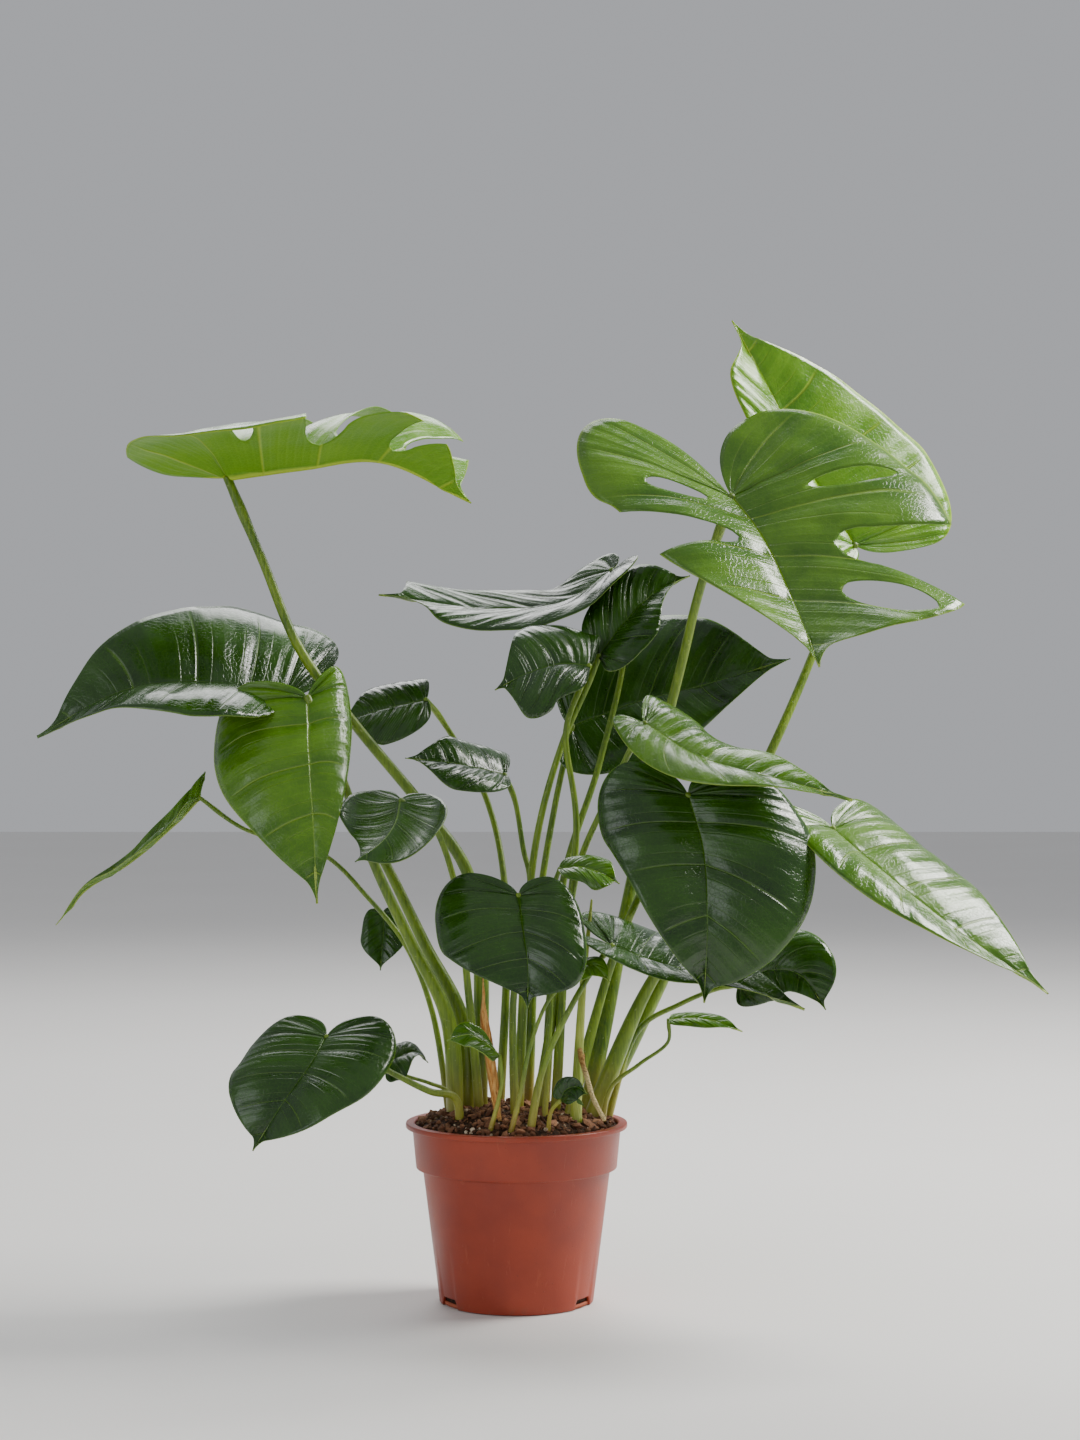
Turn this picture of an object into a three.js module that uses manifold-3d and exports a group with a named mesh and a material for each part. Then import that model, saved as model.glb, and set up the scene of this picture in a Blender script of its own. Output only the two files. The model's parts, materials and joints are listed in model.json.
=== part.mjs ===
// A young monstera in its plastic nursery pot. Millimetres, +Z up.
// The origin is the centre of the pot's underside; -Y is the front.
// Plant points are measured from the centre of the pot's rim, so they rise and fall with the pot.
import * as THREE from "three";
import { mergeVertices } from "three/addons/utils/BufferGeometryUtils.js";
import Module from "manifold-3d";

const wasm = await Module();
wasm.setup();

// ---- driving dimensions ----
const POT_HEIGHT = 137;
const RIM_RADIUS = 85;
const BASE_RADIUS = 59;
const POT_WALL = 2.2;
const POT_FLOOR = 3;
const COLLAR_HEIGHT = 35;
const COLLAR_STEP = 5;
const COLLAR_TAPER = 3;
const LIP_HEIGHT = 4;
const LIP_OVERHANG = 5;
const DRAIN_RADIUS = 5;
const DRAIN_CIRCLE = 38;
const DRAIN_COUNT = 6;
const NOTCH_WIDTH = 22;
const NOTCH_HEIGHT = 7;
const NOTCH_DEPTH = 7;
const SOIL_DROP = 3;
const SOIL_MOUND = 12;
const SOIL_HEAP = [[0.85, 0.45], [0.5, 0.85], [0, 1]]; // outwards and upwards, as shares
const LEAF_THICKNESS = 1.0;
const SHEATH_THICKNESS = 0.9;
const STALK_IN_SOIL = 16;
const CLEARANCE = 0.3;

// ---- colours ----
const DEEP_GREEN = 0x2c4a1c;
const MID_GREEN = 0x5b8a34;
const BRIGHT_GREEN = 0x86b02a;
const STALK_GREEN = 0x6f8f2e;
const ROOT_BROWN = 0x7a5a38;
const SHEATH_TAN = 0xc08a4a;
const TERRACOTTA = 0x9c4a30;
const SOIL_BROWN = 0x3a281a;

// ---- leaves ----
// rib: middle rib, stalk end to tip. left and right: edge points where the blade is widest.
// foot: where the stalk enters the soil. stalk: points up to the rib. radii: stalk at the leaf and at the foot.
// wide: where the blade is widest along the rib. lobe: how far the rear lobes reach behind the stalk.
// gap: where across the blade the lobes end. full: how full the outline stays towards the tip.
// lobe and full may be a pair, for the left and the right half.
const LEAVES = [
  {
    name: "split_leaf_right", colour: MID_GREEN, large: true,
    rib: [[166, 15, 481], [187, -15, 449], [207, -62, 397], [220, -125, 347]],
    left: [324, 0, 486], right: [66, -20, 484],
    foot: [50, 10], stalk: [[109, 60, 269], [130, 52, 355], [143, 40, 410]], radii: [3.4, 6.5],
    wide: 0.16, lobe: [0.4, 0.36], gap: 0.44, full: 0.75, arch: 0.05, curl: 0.1,
    slits: [
      { side: "right", at: 0.36, from: 0.22, to: 0.62, width: 0.06 },
      { side: "right", at: 0.54, from: 0.22, to: 1, width: 0.07 },
      { side: "left", at: 0.36, from: 0.36, to: 0.88, width: 0.06 },
      { side: "left", at: 0.54, from: 0.32, to: 1, width: 0.1 },
      { side: "left", at: 0.7, from: 0.32, to: 0.93, width: 0.1 },
    ],
  },
  {
    name: "upper_back_leaf", colour: BRIGHT_GREEN, large: true,
    rib: [[273, 120, 450], [239, 122, 507], [209, 120, 567], [173, 105, 630]],
    left: [205, 85, 500], right: [338, 170, 530],
    foot: [54, 27], stalk: [[202, 70, 285], [229, 92, 342], [259, 118, 413]], radii: [3.2, 6],
    wide: 0.28, lobe: 0.1, gap: 0.55, full: [0.95, 0.3], arch: 0.05, curl: 0.02,
  },
  {
    name: "centre_back_leaf", colour: DEEP_GREEN, large: true,
    rib: [[44, 105, 303], [95, 112, 322], [156, 125, 338], [221, 120, 358]],
    left: [108, 150, 395], right: [110, 85, 279],
    foot: [8, 46], stalk: [[16, 66, 150], [30, 84, 240]], radii: [2.4, 4],
    wide: 0.42, lobe: 0.05, gap: 0.4, full: 0.42, arch: 0.04, curl: 0.1,
  },
  {
    name: "centre_upright_leaf", colour: DEEP_GREEN, large: true,
    rib: [[64, 32, 358], [85, 45, 385], [109, 62, 409], [137, 75, 423]],
    left: [77, 70, 424], right: [107, 20, 378],
    foot: [0, 10], stalk: [[14, 6, 208], [35, 16, 289], [53, 28, 331]], radii: [2.4, 4],
    wide: 0.5, lobe: 0.02, gap: 0.5, full: 0.42, arch: 0.08, curl: 0.1,
  },
  {
    name: "centre_round_leaf", colour: DEEP_GREEN, large: true,
    rib: [[56, 6, 350], [33, -5, 351], [7, -20, 343], [-16, -30, 331]],
    left: [22, -40, 314], right: [16, 25, 385],
    foot: [12, -10], stalk: [[46, 10, 223], [38, 4, 300], [48, 4, 331]], radii: [2.2, 4],
    wide: 0.5, lobe: 0.02, gap: 0.5, full: 0.7, arch: 0.08, curl: 0.1,
  },
  {
    name: "long_back_leaf", colour: DEEP_GREEN, large: true,
    rib: [[75, 84, 428], [38, 80, 403], [-22, 84, 397], [-110, 74, 408]],
    left: [-29, 30, 384], right: [-55, 125, 419],
    foot: [20, 28], stalk: [[36, 46, 180], [66, 78, 276], [86, 96, 371]], radii: [2.2, 4],
    wide: 0.6, lobe: 0.1, gap: 0.4, full: 0.85, arch: 0.04, curl: 0.1,
  },
  {
    name: "right_shelf_leaf", colour: MID_GREEN, large: true,
    rib: [[97, -45, 306], [136, -85, 281], [182, -115, 268], [241, -150, 252]],
    left: [148, -30, 298], right: [116, -120, 268],
    foot: [28, -8], stalk: [[45, -4, 186], [67, -20, 244], [87, -38, 287]], radii: [2.2, 4],
    wide: 0.35, lobe: 0.07, gap: 0.5, full: 0.42, arch: 0.1, curl: 0.05,
  },
  {
    name: "right_heart_leaf", colour: DEEP_GREEN, large: true,
    rib: [[127, -90, 253], [137, -108, 213], [139, -125, 163], [137, -120, 103]],
    left: [219, -105, 219], right: [64, -110, 228],
    foot: [34, -24], stalk: [[74, 4, 124], [99, -24, 187], [116, -70, 234]], radii: [2.4, 4.5],
    wide: 0.16, lobe: 0.16, gap: 0.5, full: 0.45, arch: 0.09, curl: 0.12,
  },
  {
    name: "far_right_leaf", colour: MID_GREEN, large: true,
    rib: [[237, -60, 227], [267, -85, 200], [317, -110, 159], [387, -120, 110]],
    left: [318, -25, 211], right: [236, -120, 198],
    foot: [50, -6], stalk: [[106, 0, 111], [154, -30, 172], [213, -55, 220]], radii: [2.4, 7],
    wide: 0.28, lobe: 0.09, gap: 0.45, full: 0.42, arch: 0.08, curl: 0.1,
  },
  {
    name: "split_leaf_left", colour: BRIGHT_GREEN, large: true,
    rib: [[-222, 0, 494], [-166, 0, 501], [-105, 5, 507], [-35, 15, 476]],
    left: [-116, 130, 560], right: [-184, -112, 532],
    foot: [-28, 14],
    stalk: [[-35, 10, 182], [-70, 5, 238], [-123, 2, 303], [-166, -4, 362], [-195, -3, 431]],
    radii: [3.4, 6],
    wide: 0.2, lobe: 0.36, gap: 0.35, full: 0.5, arch: 0.1, curl: 0.1,
    slits: [
      { side: "right", at: 0.38, from: 0.35, to: 0.72, width: 0.05 },
      { side: "right", at: 0.58, from: 0.22, to: 1, width: 0.1 },
      { side: "right", at: 0.76, from: 0.25, to: 1, width: 0.05 },
      { side: "left", at: 0.38, from: 0.3, to: 1, width: 0.07 },
      { side: "left", at: 0.58, from: 0.25, to: 1, width: 0.08 },
      { side: "left", at: 0.76, from: 0.3, to: 1, width: 0.05 },
    ],
  },
  {
    name: "left_long_leaf", colour: DEEP_GREEN, large: true,
    rib: [[-181, 30, 326], [-236, 5, 337], [-298, -15, 331], [-364, -25, 296]],
    left: [-222, -80, 314], right: [-208, 90, 398],
    foot: [-38, 0], stalk: [[-42, -4, 78], [-70, 0, 135], [-102, 8, 199], [-145, 22, 273]],
    radii: [3, 6.5],
    wide: 0.22, lobe: [0.03, 0.16], gap: 0.5, full: 0.3, arch: 0.08, curl: 0.06,
  },
  {
    name: "left_hanging_leaf", colour: MID_GREEN, large: true,
    rib: [[-158, -32, 325], [-154, -62, 278], [-149, -85, 227], [-146, -90, 173]],
    left: [-125, -25, 306], right: [-229, -40, 282],
    foot: [-46, -16], stalk: [[-52, -22, 80], [-79, -24, 137], [-108, -30, 200], [-137, -34, 278]],
    radii: [3, 6.5],
    wide: 0.25, lobe: 0.08, gap: 0.5, full: 0.42, arch: 0.12, curl: 0.05,
  },
  {
    name: "twisted_leaf", colour: MID_GREEN, large: false,
    rib: [[-246, 20, 248], [-262, 12, 230], [-298, 2, 198], [-330, -2, 178], [-354, 0, 151]],
    left: [-274, -10, 222], right: [-250, 26, 262],
    foot: [-50, 16],
    stalk: [[-66, 22, 83], [-87, 26, 134], [-116, 28, 170], [-150, 28, 203], [-212, 20, 224]],
    radii: [1.6, 2.6],
    wide: 0.14, lobe: 0, gap: 0.5, full: 0.2, arch: 0.05, curl: 0.1,
  },
  {
    name: "left_inner_leaf", colour: DEEP_GREEN, large: true,
    rib: [[-86, -60, 248], [-89, -85, 231], [-99, -105, 217], [-116, -120, 205]],
    left: [-131, -70, 237], right: [-55, -110, 224],
    foot: [-26, -10], stalk: [[-36, -14, 94], [-47, -30, 186], [-65, -48, 233]], radii: [2.2, 3.8],
    wide: 0.4, lobe: 0.2, gap: 0.4, full: 0.42, arch: 0.1, curl: 0.1,
  },
  {
    name: "left_back_leaf", colour: DEEP_GREEN, large: false,
    rib: [[-72, 58, 324], [-91, 48, 320], [-114, 38, 314], [-138, 28, 306]],
    left: [-101, 23, 291], right: [-104, 73, 339],
    foot: [-14, 36], stalk: [[-9, 62, 167], [-25, 90, 245], [-60, 76, 308]], radii: [2.2, 3.6],
    wide: 0.45, lobe: 0.05, gap: 0.5, full: 0.42, arch: 0.1, curl: 0.1,
  },
  {
    name: "left_rear_leaf", colour: DEEP_GREEN, large: false,
    rib: [[-10, 60, 265], [-29, 45, 270], [-52, 30, 275], [-86, 15, 279]],
    left: [-44, 10, 256], right: [-42, 75, 294],
    foot: [-4, 54], stalk: [[10, 58, 182], [5, 62, 205], [-2, 62, 245]], radii: [2, 3.4],
    wide: 0.45, lobe: 0.05, gap: 0.5, full: 0.42, arch: 0.1, curl: 0.1,
  },
  {
    name: "front_heart_leaf", colour: DEEP_GREEN, large: true,
    rib: [[2, -75, 178], [5, -92, 157], [9, -108, 129], [9, -112, 98]],
    left: [50, -95, 158], right: [-59, -90, 161],
    foot: [0, -30], stalk: [[-2, -40, 97], [7, -44, 157], [7, -58, 174]], radii: [2.2, 3.6],
    wide: 0.28, lobe: 0.16, gap: 0.5, full: 0.85, arch: 0.08, curl: 0.1,
  },
  {
    name: "low_left_leaf", colour: DEEP_GREEN, large: true,
    rib: [[-141, -70, 73], [-150, -90, 56], [-168, -110, 31], [-191, -115, -5]],
    left: [-91, -95, 61], right: [-203, -85, 60],
    foot: [-42, -36], stalk: [[-46, -45, 24], [-64, -55, 30], [-101, -65, 50]], radii: [1.8, 3.6],
    wide: 0.14, lobe: 0.2, gap: 0.5, full: 0.5, arch: 0.08, curl: 0.1,
  },
  {
    name: "low_left_small_leaf", colour: DEEP_GREEN, large: false,
    rib: [[-97, -38, 50], [-88, -33, 54], [-77, -23, 56], [-67, -13, 47]],
    left: [-85, -13, 64], right: [-83, -48, 41],
    foot: [-30, -26], stalk: [[-50, -32, 26], [-65, -38, 34], [-87, -42, 42]], radii: [1.3, 2],
    wide: 0.4, lobe: 0, gap: 0.5, full: 0.42, arch: 0.1, curl: 0.1,
  },
  {
    name: "low_right_leaf", colour: DEEP_GREEN, large: true,
    rib: [[72, -60, 140], [107, -70, 128], [158, -80, 116], [213, -85, 94]],
    left: [109, -20, 151], right: [99, -100, 123],
    foot: [8, -60], stalk: [[20, -60, 47], [40, -70, 93], [60, -66, 126]], radii: [2, 3.2],
    wide: 0.22, lobe: 0.2, gap: 0.4, full: 0.4, arch: 0.04, curl: 0.1,
  },
  {
    name: "low_right_back_leaf", colour: DEEP_GREEN, large: false,
    rib: [[173, 20, 103], [195, 10, 115], [218, 0, 112], [237, -5, 86]],
    left: [219, 15, 147], right: [195, 0, 93],
    foot: [66, 12], stalk: [[95, 24, 68], [126, 24, 87], [154, 22, 99]], radii: [1.8, 3],
    wide: 0.4, lobe: 0.05, gap: 0.5, full: 0.42, arch: 0.1, curl: 0.1,
  },
  {
    name: "young_centre_leaf", colour: MID_GREEN, large: false,
    rib: [[33, -20, 195], [48, -30, 197], [63, -38, 193], [78, -42, 185]],
    left: [64, -20, 205], right: [56, -50, 183],
    foot: [20, -34], stalk: [[26, -20, 87], [28, -15, 148], [29, -18, 182]], radii: [1.6, 2.4],
    wide: 0.4, lobe: 0.05, gap: 0.5, full: 0.42, arch: 0.1, curl: 0.1,
  },
  {
    name: "dark_round_leaf", colour: DEEP_GREEN, large: false,
    rib: [[-106, 60, 156], [-105, 52, 143], [-106, 46, 129], [-107, 42, 112]],
    left: [-88, 48, 137], right: [-123, 50, 137],
    foot: [-34, 34], stalk: [[-48, 40, 58], [-72, 52, 107], [-96, 60, 150]], radii: [1.5, 2.4],
    wide: 0.4, lobe: 0.1, gap: 0.5, full: 0.42, arch: 0.1, curl: 0.1,
  },
  {
    name: "curled_leaf", colour: MID_GREEN, large: false,
    rib: [[33, -72, 111], [44, -76, 123], [56, -80, 127], [70, -84, 115]],
    left: [55, -70, 133], right: [51, -88, 118],
    foot: [-8, -66], stalk: [[4, -70, 33], [10, -74, 63], [22, -72, 96]], radii: [1.4, 2.2],
    wide: 0.4, lobe: 0, gap: 0.5, full: 0.42, arch: 0.1, curl: 0.1,
  },
  {
    name: "crown_leaf_left", colour: MID_GREEN, large: false,
    rib: [[-12, -72, 59], [-23, -76, 69], [-35, -80, 75], [-51, -84, 71]],
    left: [-34, -70, 82], right: [-30, -90, 65],
    foot: [-24, -62], stalk: [[-12, -70, 29], [-10, -71, 42]], radii: [1.4, 2.2],
    wide: 0.4, lobe: 0, gap: 0.5, full: 0.42, arch: 0.1, curl: 0.1,
  },
  {
    name: "crown_leaf_right", colour: DEEP_GREEN, large: false,
    rib: [[33, -74, 26], [37, -78, 34], [45, -82, 37], [53, -86, 32]],
    left: [33, -76, 42], right: [49, -90, 25],
    foot: [24, -60], stalk: [[26, -68, 16]], radii: [1.4, 2.2],
    wide: 0.4, lobe: 0, gap: 0.5, full: 0.42, arch: 0.1, curl: 0.1,
  },
  {
    name: "thin_right_leaf", colour: MID_GREEN, large: false,
    rib: [[116, -10, 79], [132, -14, 81], [151, -18, 79], [172, -20, 71]],
    left: [144, -6, 84], right: [139, -24, 75],
    foot: [64, -18], stalk: [[72, -14, 27], [94, -10, 45], [116, -8, 62]], radii: [1.3, 2.2],
    wide: 0.4, lobe: 0, gap: 0.5, full: 0.42, arch: 0.1, curl: 0.1,
  },
];
const DRIED_SHEATH = {
  name: "dried_sheath", colour: SHEATH_TAN, large: false,
  rib: [[-12, -54, 8], [-17, -58, 50], [-23, -58, 90], [-25, -54, 118]],
  left: [-16, -57, 60], right: [-24, -57, 60],
  wide: 0.45, lobe: 0, gap: 0.5, full: 0.6, arch: 0.45, curl: 0,
};
const NEW_LEAF_SPEAR = { name: "new_leaf_spear", route: [[44, -34], [50, -36, 100], [57, -34, 172]], radii: [0.8, 5] };
const AERIAL_ROOT = {
  name: "aerial_root",
  route: [[48, -40, 58], [53, -48, 40], [59, -53, 22], [66, -52, 9]],
  radii: [1.6, 2.4],
};

// ---- small vector helpers ----
const vec = (p) => new THREE.Vector3(p[0], p[1], (p[2] ?? -STALK_IN_SOIL) + POT_HEIGHT);
const clamp = (x, lo, hi) => Math.min(Math.max(x, lo), hi);

// A catmull-rom path through the points, with evenly spaced samples.
function evenPath(points, steps) {
  const curve = new THREE.CatmullRomCurve3(points, false, "centripetal");
  return curve.getSpacedPoints(steps);
}

function tangents(path) {
  return path.map((p, i) => {
    const before = path[Math.max(i - 1, 0)];
    const after = path[Math.min(i + 1, path.length - 1)];
    return after.clone().sub(before).normalize();
  });
}

// The least turn that takes one direction to the next carries a side vector along a path.
function carried(side, from, to) {
  return side.clone().applyQuaternion(new THREE.Quaternion().setFromUnitVectors(from, to));
}

function solidOf(vertices, triangles) {
  const geometry = new THREE.BufferGeometry();
  geometry.setAttribute("position", new THREE.Float32BufferAttribute(vertices.flatMap((v) => v.toArray()), 3));
  geometry.setIndex(triangles.flat());
  return solidFrom(geometry);
}

function solidFrom(geometry) {
  geometry.deleteAttribute("normal");
  geometry.deleteAttribute("uv");
  const merged = mergeVertices(geometry, 1e-4);
  const vertProperties = Float32Array.from(merged.attributes.position.array);
  const triVerts = Uint32Array.from(merged.index.array);
  return new wasm.Manifold(new wasm.Mesh({ numProp: 3, vertProperties, triVerts }));
}

// ---- leaf blade ----
const RIB_STEPS = 40;
const U_WIDEST = 0.42;
const U_SHOULDER = 0.92;
const SHOULDER = [0.1, 0.9];
const FAN_SHARE = 0.26;
const VEIN_SPREAD = 1.25;
const VEIN_BOW = [0.55, 0.36];
const SINUS_SHARE = 0.2;
const SINUS_BOW = [0.05, 0.85];
const REAR_FULL = 0.62;
const FLANK_FULL = 0.6;
const SHOULDER_REACH = 0.86;
const SHOULDER_RUN = 0.14;
const TIP_BOW = [0.5, 0.02];
const TIP_POINT = [0.025, 0.06];
const CURL_START = 0.55;
const SLIT_ROUND = 0.3;
const SLIT_FLARE = 1.2;
const ROW_GAP = 0.04;

// A measure of the outline: one number, or one for each side.
function own(measure, sideName) {
  return Array.isArray(measure) ? measure[sideName === "left" ? 0 : 1] : measure;
}

function bladeFrame(leaf) {
  const rib = evenPath(leaf.rib.map(vec), RIB_STEPS);
  const along = tangents(rib);
  const widest = Math.round(leaf.wide * RIB_STEPS);
  const sides = {};
  for (const name of ["left", "right"]) {
    const side = [];
    side[widest] = vec(leaf[name]).sub(rib[widest]);
    for (let i = widest + 1; i <= RIB_STEPS; i++) side[i] = carried(side[i - 1], along[i - 1], along[i]);
    for (let i = widest - 1; i >= 0; i--) side[i] = carried(side[i + 1], along[i + 1], along[i]);
    sides[name] = side;
  }
  const length = rib.slice(1).reduce((sum, p, i) => sum + p.distanceTo(rib[i]), 0);
  return { rib, along, sides, length };
}

function bezier(a, b, c, d, t) {
  const s = 1 - t;
  return [0, 1].map((k) => a[k] * s ** 3 + 3 * b[k] * t * s * s + 3 * c[k] * t * t * s + d[k] * t ** 3);
}

// The blade's outline, from the rear lobe (u = 0) past the widest place to the tip (u = 1).
function outline(leaf, sideName, u) {
  const { wide, gap } = leaf;
  const lobe = own(leaf.lobe, sideName);
  const full = own(leaf.full, sideName);
  const [sx, sy] = SHOULDER;
  if (u <= U_WIDEST) {
    const rear = [gap + REAR_FULL * (1 - gap), -lobe];
    const flank = [1, wide - FLANK_FULL * (wide + lobe)];
    return bezier([gap, -lobe], rear, flank, [1, wide], u / U_WIDEST);
  }
  if (u <= U_SHOULDER) {
    const t = (u - U_WIDEST) / (U_SHOULDER - U_WIDEST);
    const ahead = [1, wide + full * (sy - wide)];
    return bezier([1, wide], ahead, [sx + SHOULDER_REACH * full, sy - SHOULDER_RUN], [sx, sy], t);
  }
  const t = (u - U_SHOULDER) / (1 - U_SHOULDER);
  const neck = [sx * TIP_BOW[0], sy + TIP_BOW[1]];
  return bezier([sx, sy], neck, [TIP_POINT[0], sy + TIP_POINT[1]], [0, 1], t);
}

// A place on one flat half: u picks a side vein, v runs along it from the rib to the edge.
function flatPlace(leaf, sideName, u, v) {
  const edge = outline(leaf, sideName, u);
  const start = [0, Math.max((u - FAN_SHARE) / (1 - FAN_SHARE), 0) ** VEIN_SPREAD];
  const sinus = clamp(1 - u / SINUS_SHARE, 0, 1) ** 2;
  const bow = [0, 1].map((k) => start[k] + VEIN_BOW[k] * (edge[k] - start[k]));
  const bend = [
    bow[0] * (1 - sinus) + SINUS_BOW[0] * sinus,
    bow[1] * (1 - sinus) - SINUS_BOW[1] * own(leaf.lobe, sideName) * sinus,
  ];
  return [0, 1].map((k) => start[k] * (1 - v) ** 2 + 2 * bend[k] * v * (1 - v) + edge[k] * v * v);
}

// Bends the flat place (x across, y along) onto the leaf's rib and side vectors.
function bentPlace(leaf, frame, sideName, x, y) {
  const step = clamp(y, 0, 1) * RIB_STEPS;
  const i = Math.min(Math.floor(step), RIB_STEPS - 1);
  const mix = (list) => list[i].clone().lerp(list[i + 1], step - i);
  const place = mix(frame.rib).addScaledVector(frame.along[0], Math.min(y, 0) * frame.length);
  const side = mix(frame.sides[sideName]);
  const across = mix(frame.sides.right).normalize().sub(mix(frame.sides.left).normalize());
  const up = across.cross(mix(frame.along)).normalize();
  const sideways = side.clone().normalize();
  const normal = up.addScaledVector(sideways, -up.dot(sideways)).normalize();
  const width = side.length();
  const rise = leaf.arch * 4 * x * (1 - x) - leaf.curl * 5 * Math.max(x - CURL_START, 0) ** 2;
  return place.addScaledVector(side, x).addScaledVector(normal, rise * width);
}

// Half the width of a slit at v: round ends, and an open slit widens to the edge.
function slitHalf(slit, v) {
  if (v <= slit.from || (v >= slit.to && slit.to < 1)) return 0;
  const t = (v - slit.from) / (slit.to - slit.from);
  if (slit.to < 1) return slit.width * 0.5 * Math.sqrt(1 - (2 * t - 1) ** 2);
  if (t < SLIT_ROUND) return slit.width * 0.5 * Math.sqrt(1 - (1 - t / SLIT_ROUND) ** 2);
  return slit.width * 0.5 * (1 + SLIT_FLARE * (t - SLIT_ROUND));
}

// The middle surface of the blade as merged points and triangles.
function bladeSkin(leaf, frame, columns, rows) {
  const points = [];
  const triangles = [];
  const seen = new Map();
  const add = (p) => {
    const key = p.toArray().map((c) => Math.round(c * 500)).join();
    if (!seen.has(key)) {
      seen.set(key, points.length);
      points.push(p);
    }
    return seen.get(key);
  };
  const allSlits = leaf.slits ?? [];
  const marks = [0, ...new Set(allSlits.map((s) => s.at).sort((a, b) => a - b)), 1];
  for (const sideName of ["left", "right"]) {
    const slits = allSlits.filter((s) => s.side === sideName);
    const openAt = (mark, v) => slits.filter((s) => s.at === mark).reduce((sum, s) => sum + slitHalf(s, v), 0);
    const ends = slits.flatMap((s) => [s.from, s.to]);
    const even = Array.from({ length: rows + 1 }, (_, j) => j / rows);
    const heights = [...even.filter((v) => ends.every((e) => Math.abs(v - e) > ROW_GAP) || v === 0 || v === 1)]
      .concat(ends.filter((e) => e < 1))
      .sort((a, b) => a - b);
    for (let k = 0; k + 1 < marks.length; k++) {
      const count = Math.max(1, Math.round((marks[k + 1] - marks[k]) * columns));
      const grid = [];
      for (let i = 0; i <= count; i++) {
        const t = i / count;
        grid.push(
          heights.map((v) => {
            const lo = marks[k] + openAt(marks[k], v);
            const hi = marks[k + 1] - openAt(marks[k + 1], v);
            const [x, y] = flatPlace(leaf, sideName, lo + (hi - lo) * t, v);
            return add(bentPlace(leaf, frame, sideName, x, y));
          }),
        );
      }
      for (let i = 0; i < count; i++) {
        for (let j = 0; j + 1 < heights.length; j++) {
          const [a, b, c, d] = [grid[i][j], grid[i + 1][j], grid[i + 1][j + 1], grid[i][j + 1]];
          const pair = [[a, b, c], [a, c, d]];
          for (const [p, q, r] of pair) {
            if (p === q || q === r || r === p) continue;
            triangles.push(sideName === "left" ? [p, r, q] : [p, q, r]);
          }
        }
      }
    }
  }
  return { points, triangles };
}

// Thickens the blade's middle surface along its normals, moves its edge out by spread and closes it.
function thickened(skin, thickness, spread) {
  const normals = skin.points.map(() => new THREE.Vector3());
  for (const [a, b, c] of skin.triangles) {
    const ab = skin.points[b].clone().sub(skin.points[a]);
    const face = ab.cross(skin.points[c].clone().sub(skin.points[a]));
    for (const k of [a, b, c]) normals[k].add(face);
  }
  normals.forEach((normal) => normal.normalize());
  const edges = new Map();
  for (const [a, b, c] of skin.triangles) {
    for (const [p, q] of [[a, b], [b, c], [c, a]]) edges.set(`${p},${q}`, [p, q]);
  }
  const rim = [...edges.values()].filter(([p, q]) => !edges.has(`${q},${p}`));
  const outward = skin.points.map(() => new THREE.Vector3());
  for (const [p, q] of rim) {
    const run = skin.points[q].clone().sub(skin.points[p]).normalize();
    for (const k of [p, q]) outward[k].add(run.clone().cross(normals[k]));
  }
  const middle = skin.points.map((p, i) => p.clone().addScaledVector(outward[i].normalize(), spread));
  const upper = middle.map((p, i) => p.clone().addScaledVector(normals[i], thickness / 2));
  const lower = middle.map((p, i) => p.clone().addScaledVector(normals[i], -thickness / 2));
  const n = skin.points.length;
  const triangles = skin.triangles.flatMap(([a, b, c]) => [[a, b, c], [a + n, c + n, b + n]]);
  for (const [p, q] of rim) triangles.push([q, p, p + n], [q, p + n, q + n]);
  return solidOf(upper.concat(lower), triangles);
}

function bladeSolid(leaf, thickness, grow) {
  const [columns, rows] = leaf.slits ? [11, 5] : leaf.large ? [9, 3] : [6, 2];
  const skin = bladeSkin(leaf, bladeFrame(leaf), columns, rows);
  return thickened(skin, thickness + 2 * grow, grow);
}

// ---- stalks, spear and root: round tapering rods along a path ----
const ROD_SIDES = 6;
const ROD_TAPER = 1.6;
const FEET_RIM_RADIUS = 85;

function rodSolid(route, [tip, foot], grow) {
  const steps = 4 + route.length;
  const path = evenPath(route, steps);
  const along = tangents(path);
  let side = new THREE.Vector3(1, 0.3, 0).projectOnPlane(along[0]).normalize();
  const vertices = [];
  path.forEach((p, i) => {
    if (i > 0) side = carried(side, along[i - 1], along[i]);
    const other = along[i].clone().cross(side);
    const radius = tip + (foot - tip) * (1 - i / steps) ** ROD_TAPER + grow;
    for (let k = 0; k < ROD_SIDES; k++) {
      const angle = (2 * Math.PI * k) / ROD_SIDES;
      const place = p.clone().addScaledVector(side, radius * Math.cos(angle));
      vertices.push(place.addScaledVector(other, radius * Math.sin(angle)));
    }
  });
  const triangles = [];
  for (let i = 0; i < steps; i++) {
    for (let k = 0; k < ROD_SIDES; k++) {
      const [a, b] = [i * ROD_SIDES + k, i * ROD_SIDES + ((k + 1) % ROD_SIDES)];
      triangles.push([a, b, b + ROD_SIDES], [a, b + ROD_SIDES, a + ROD_SIDES]);
    }
  }
  const last = steps * ROD_SIDES;
  for (let k = 1; k + 1 < ROD_SIDES; k++) triangles.push([0, k + 1, k], [last, last + k, last + k + 1]);
  return solidOf(vertices, triangles);
}

// The stalks' feet keep their share of the pot's width.
function stalkRoute(leaf) {
  const foot = leaf.foot.map((c) => (c * RIM_RADIUS) / FEET_RIM_RADIUS);
  return [foot, ...leaf.stalk, leaf.rib[0]].map(vec);
}

// ---- pot and soil ----
const bodyTop = RIM_RADIUS - LIP_OVERHANG - COLLAR_TAPER - COLLAR_STEP;
const collarBase = POT_HEIGHT - COLLAR_HEIGHT;
const LATHE_STEPS = 32;

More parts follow.
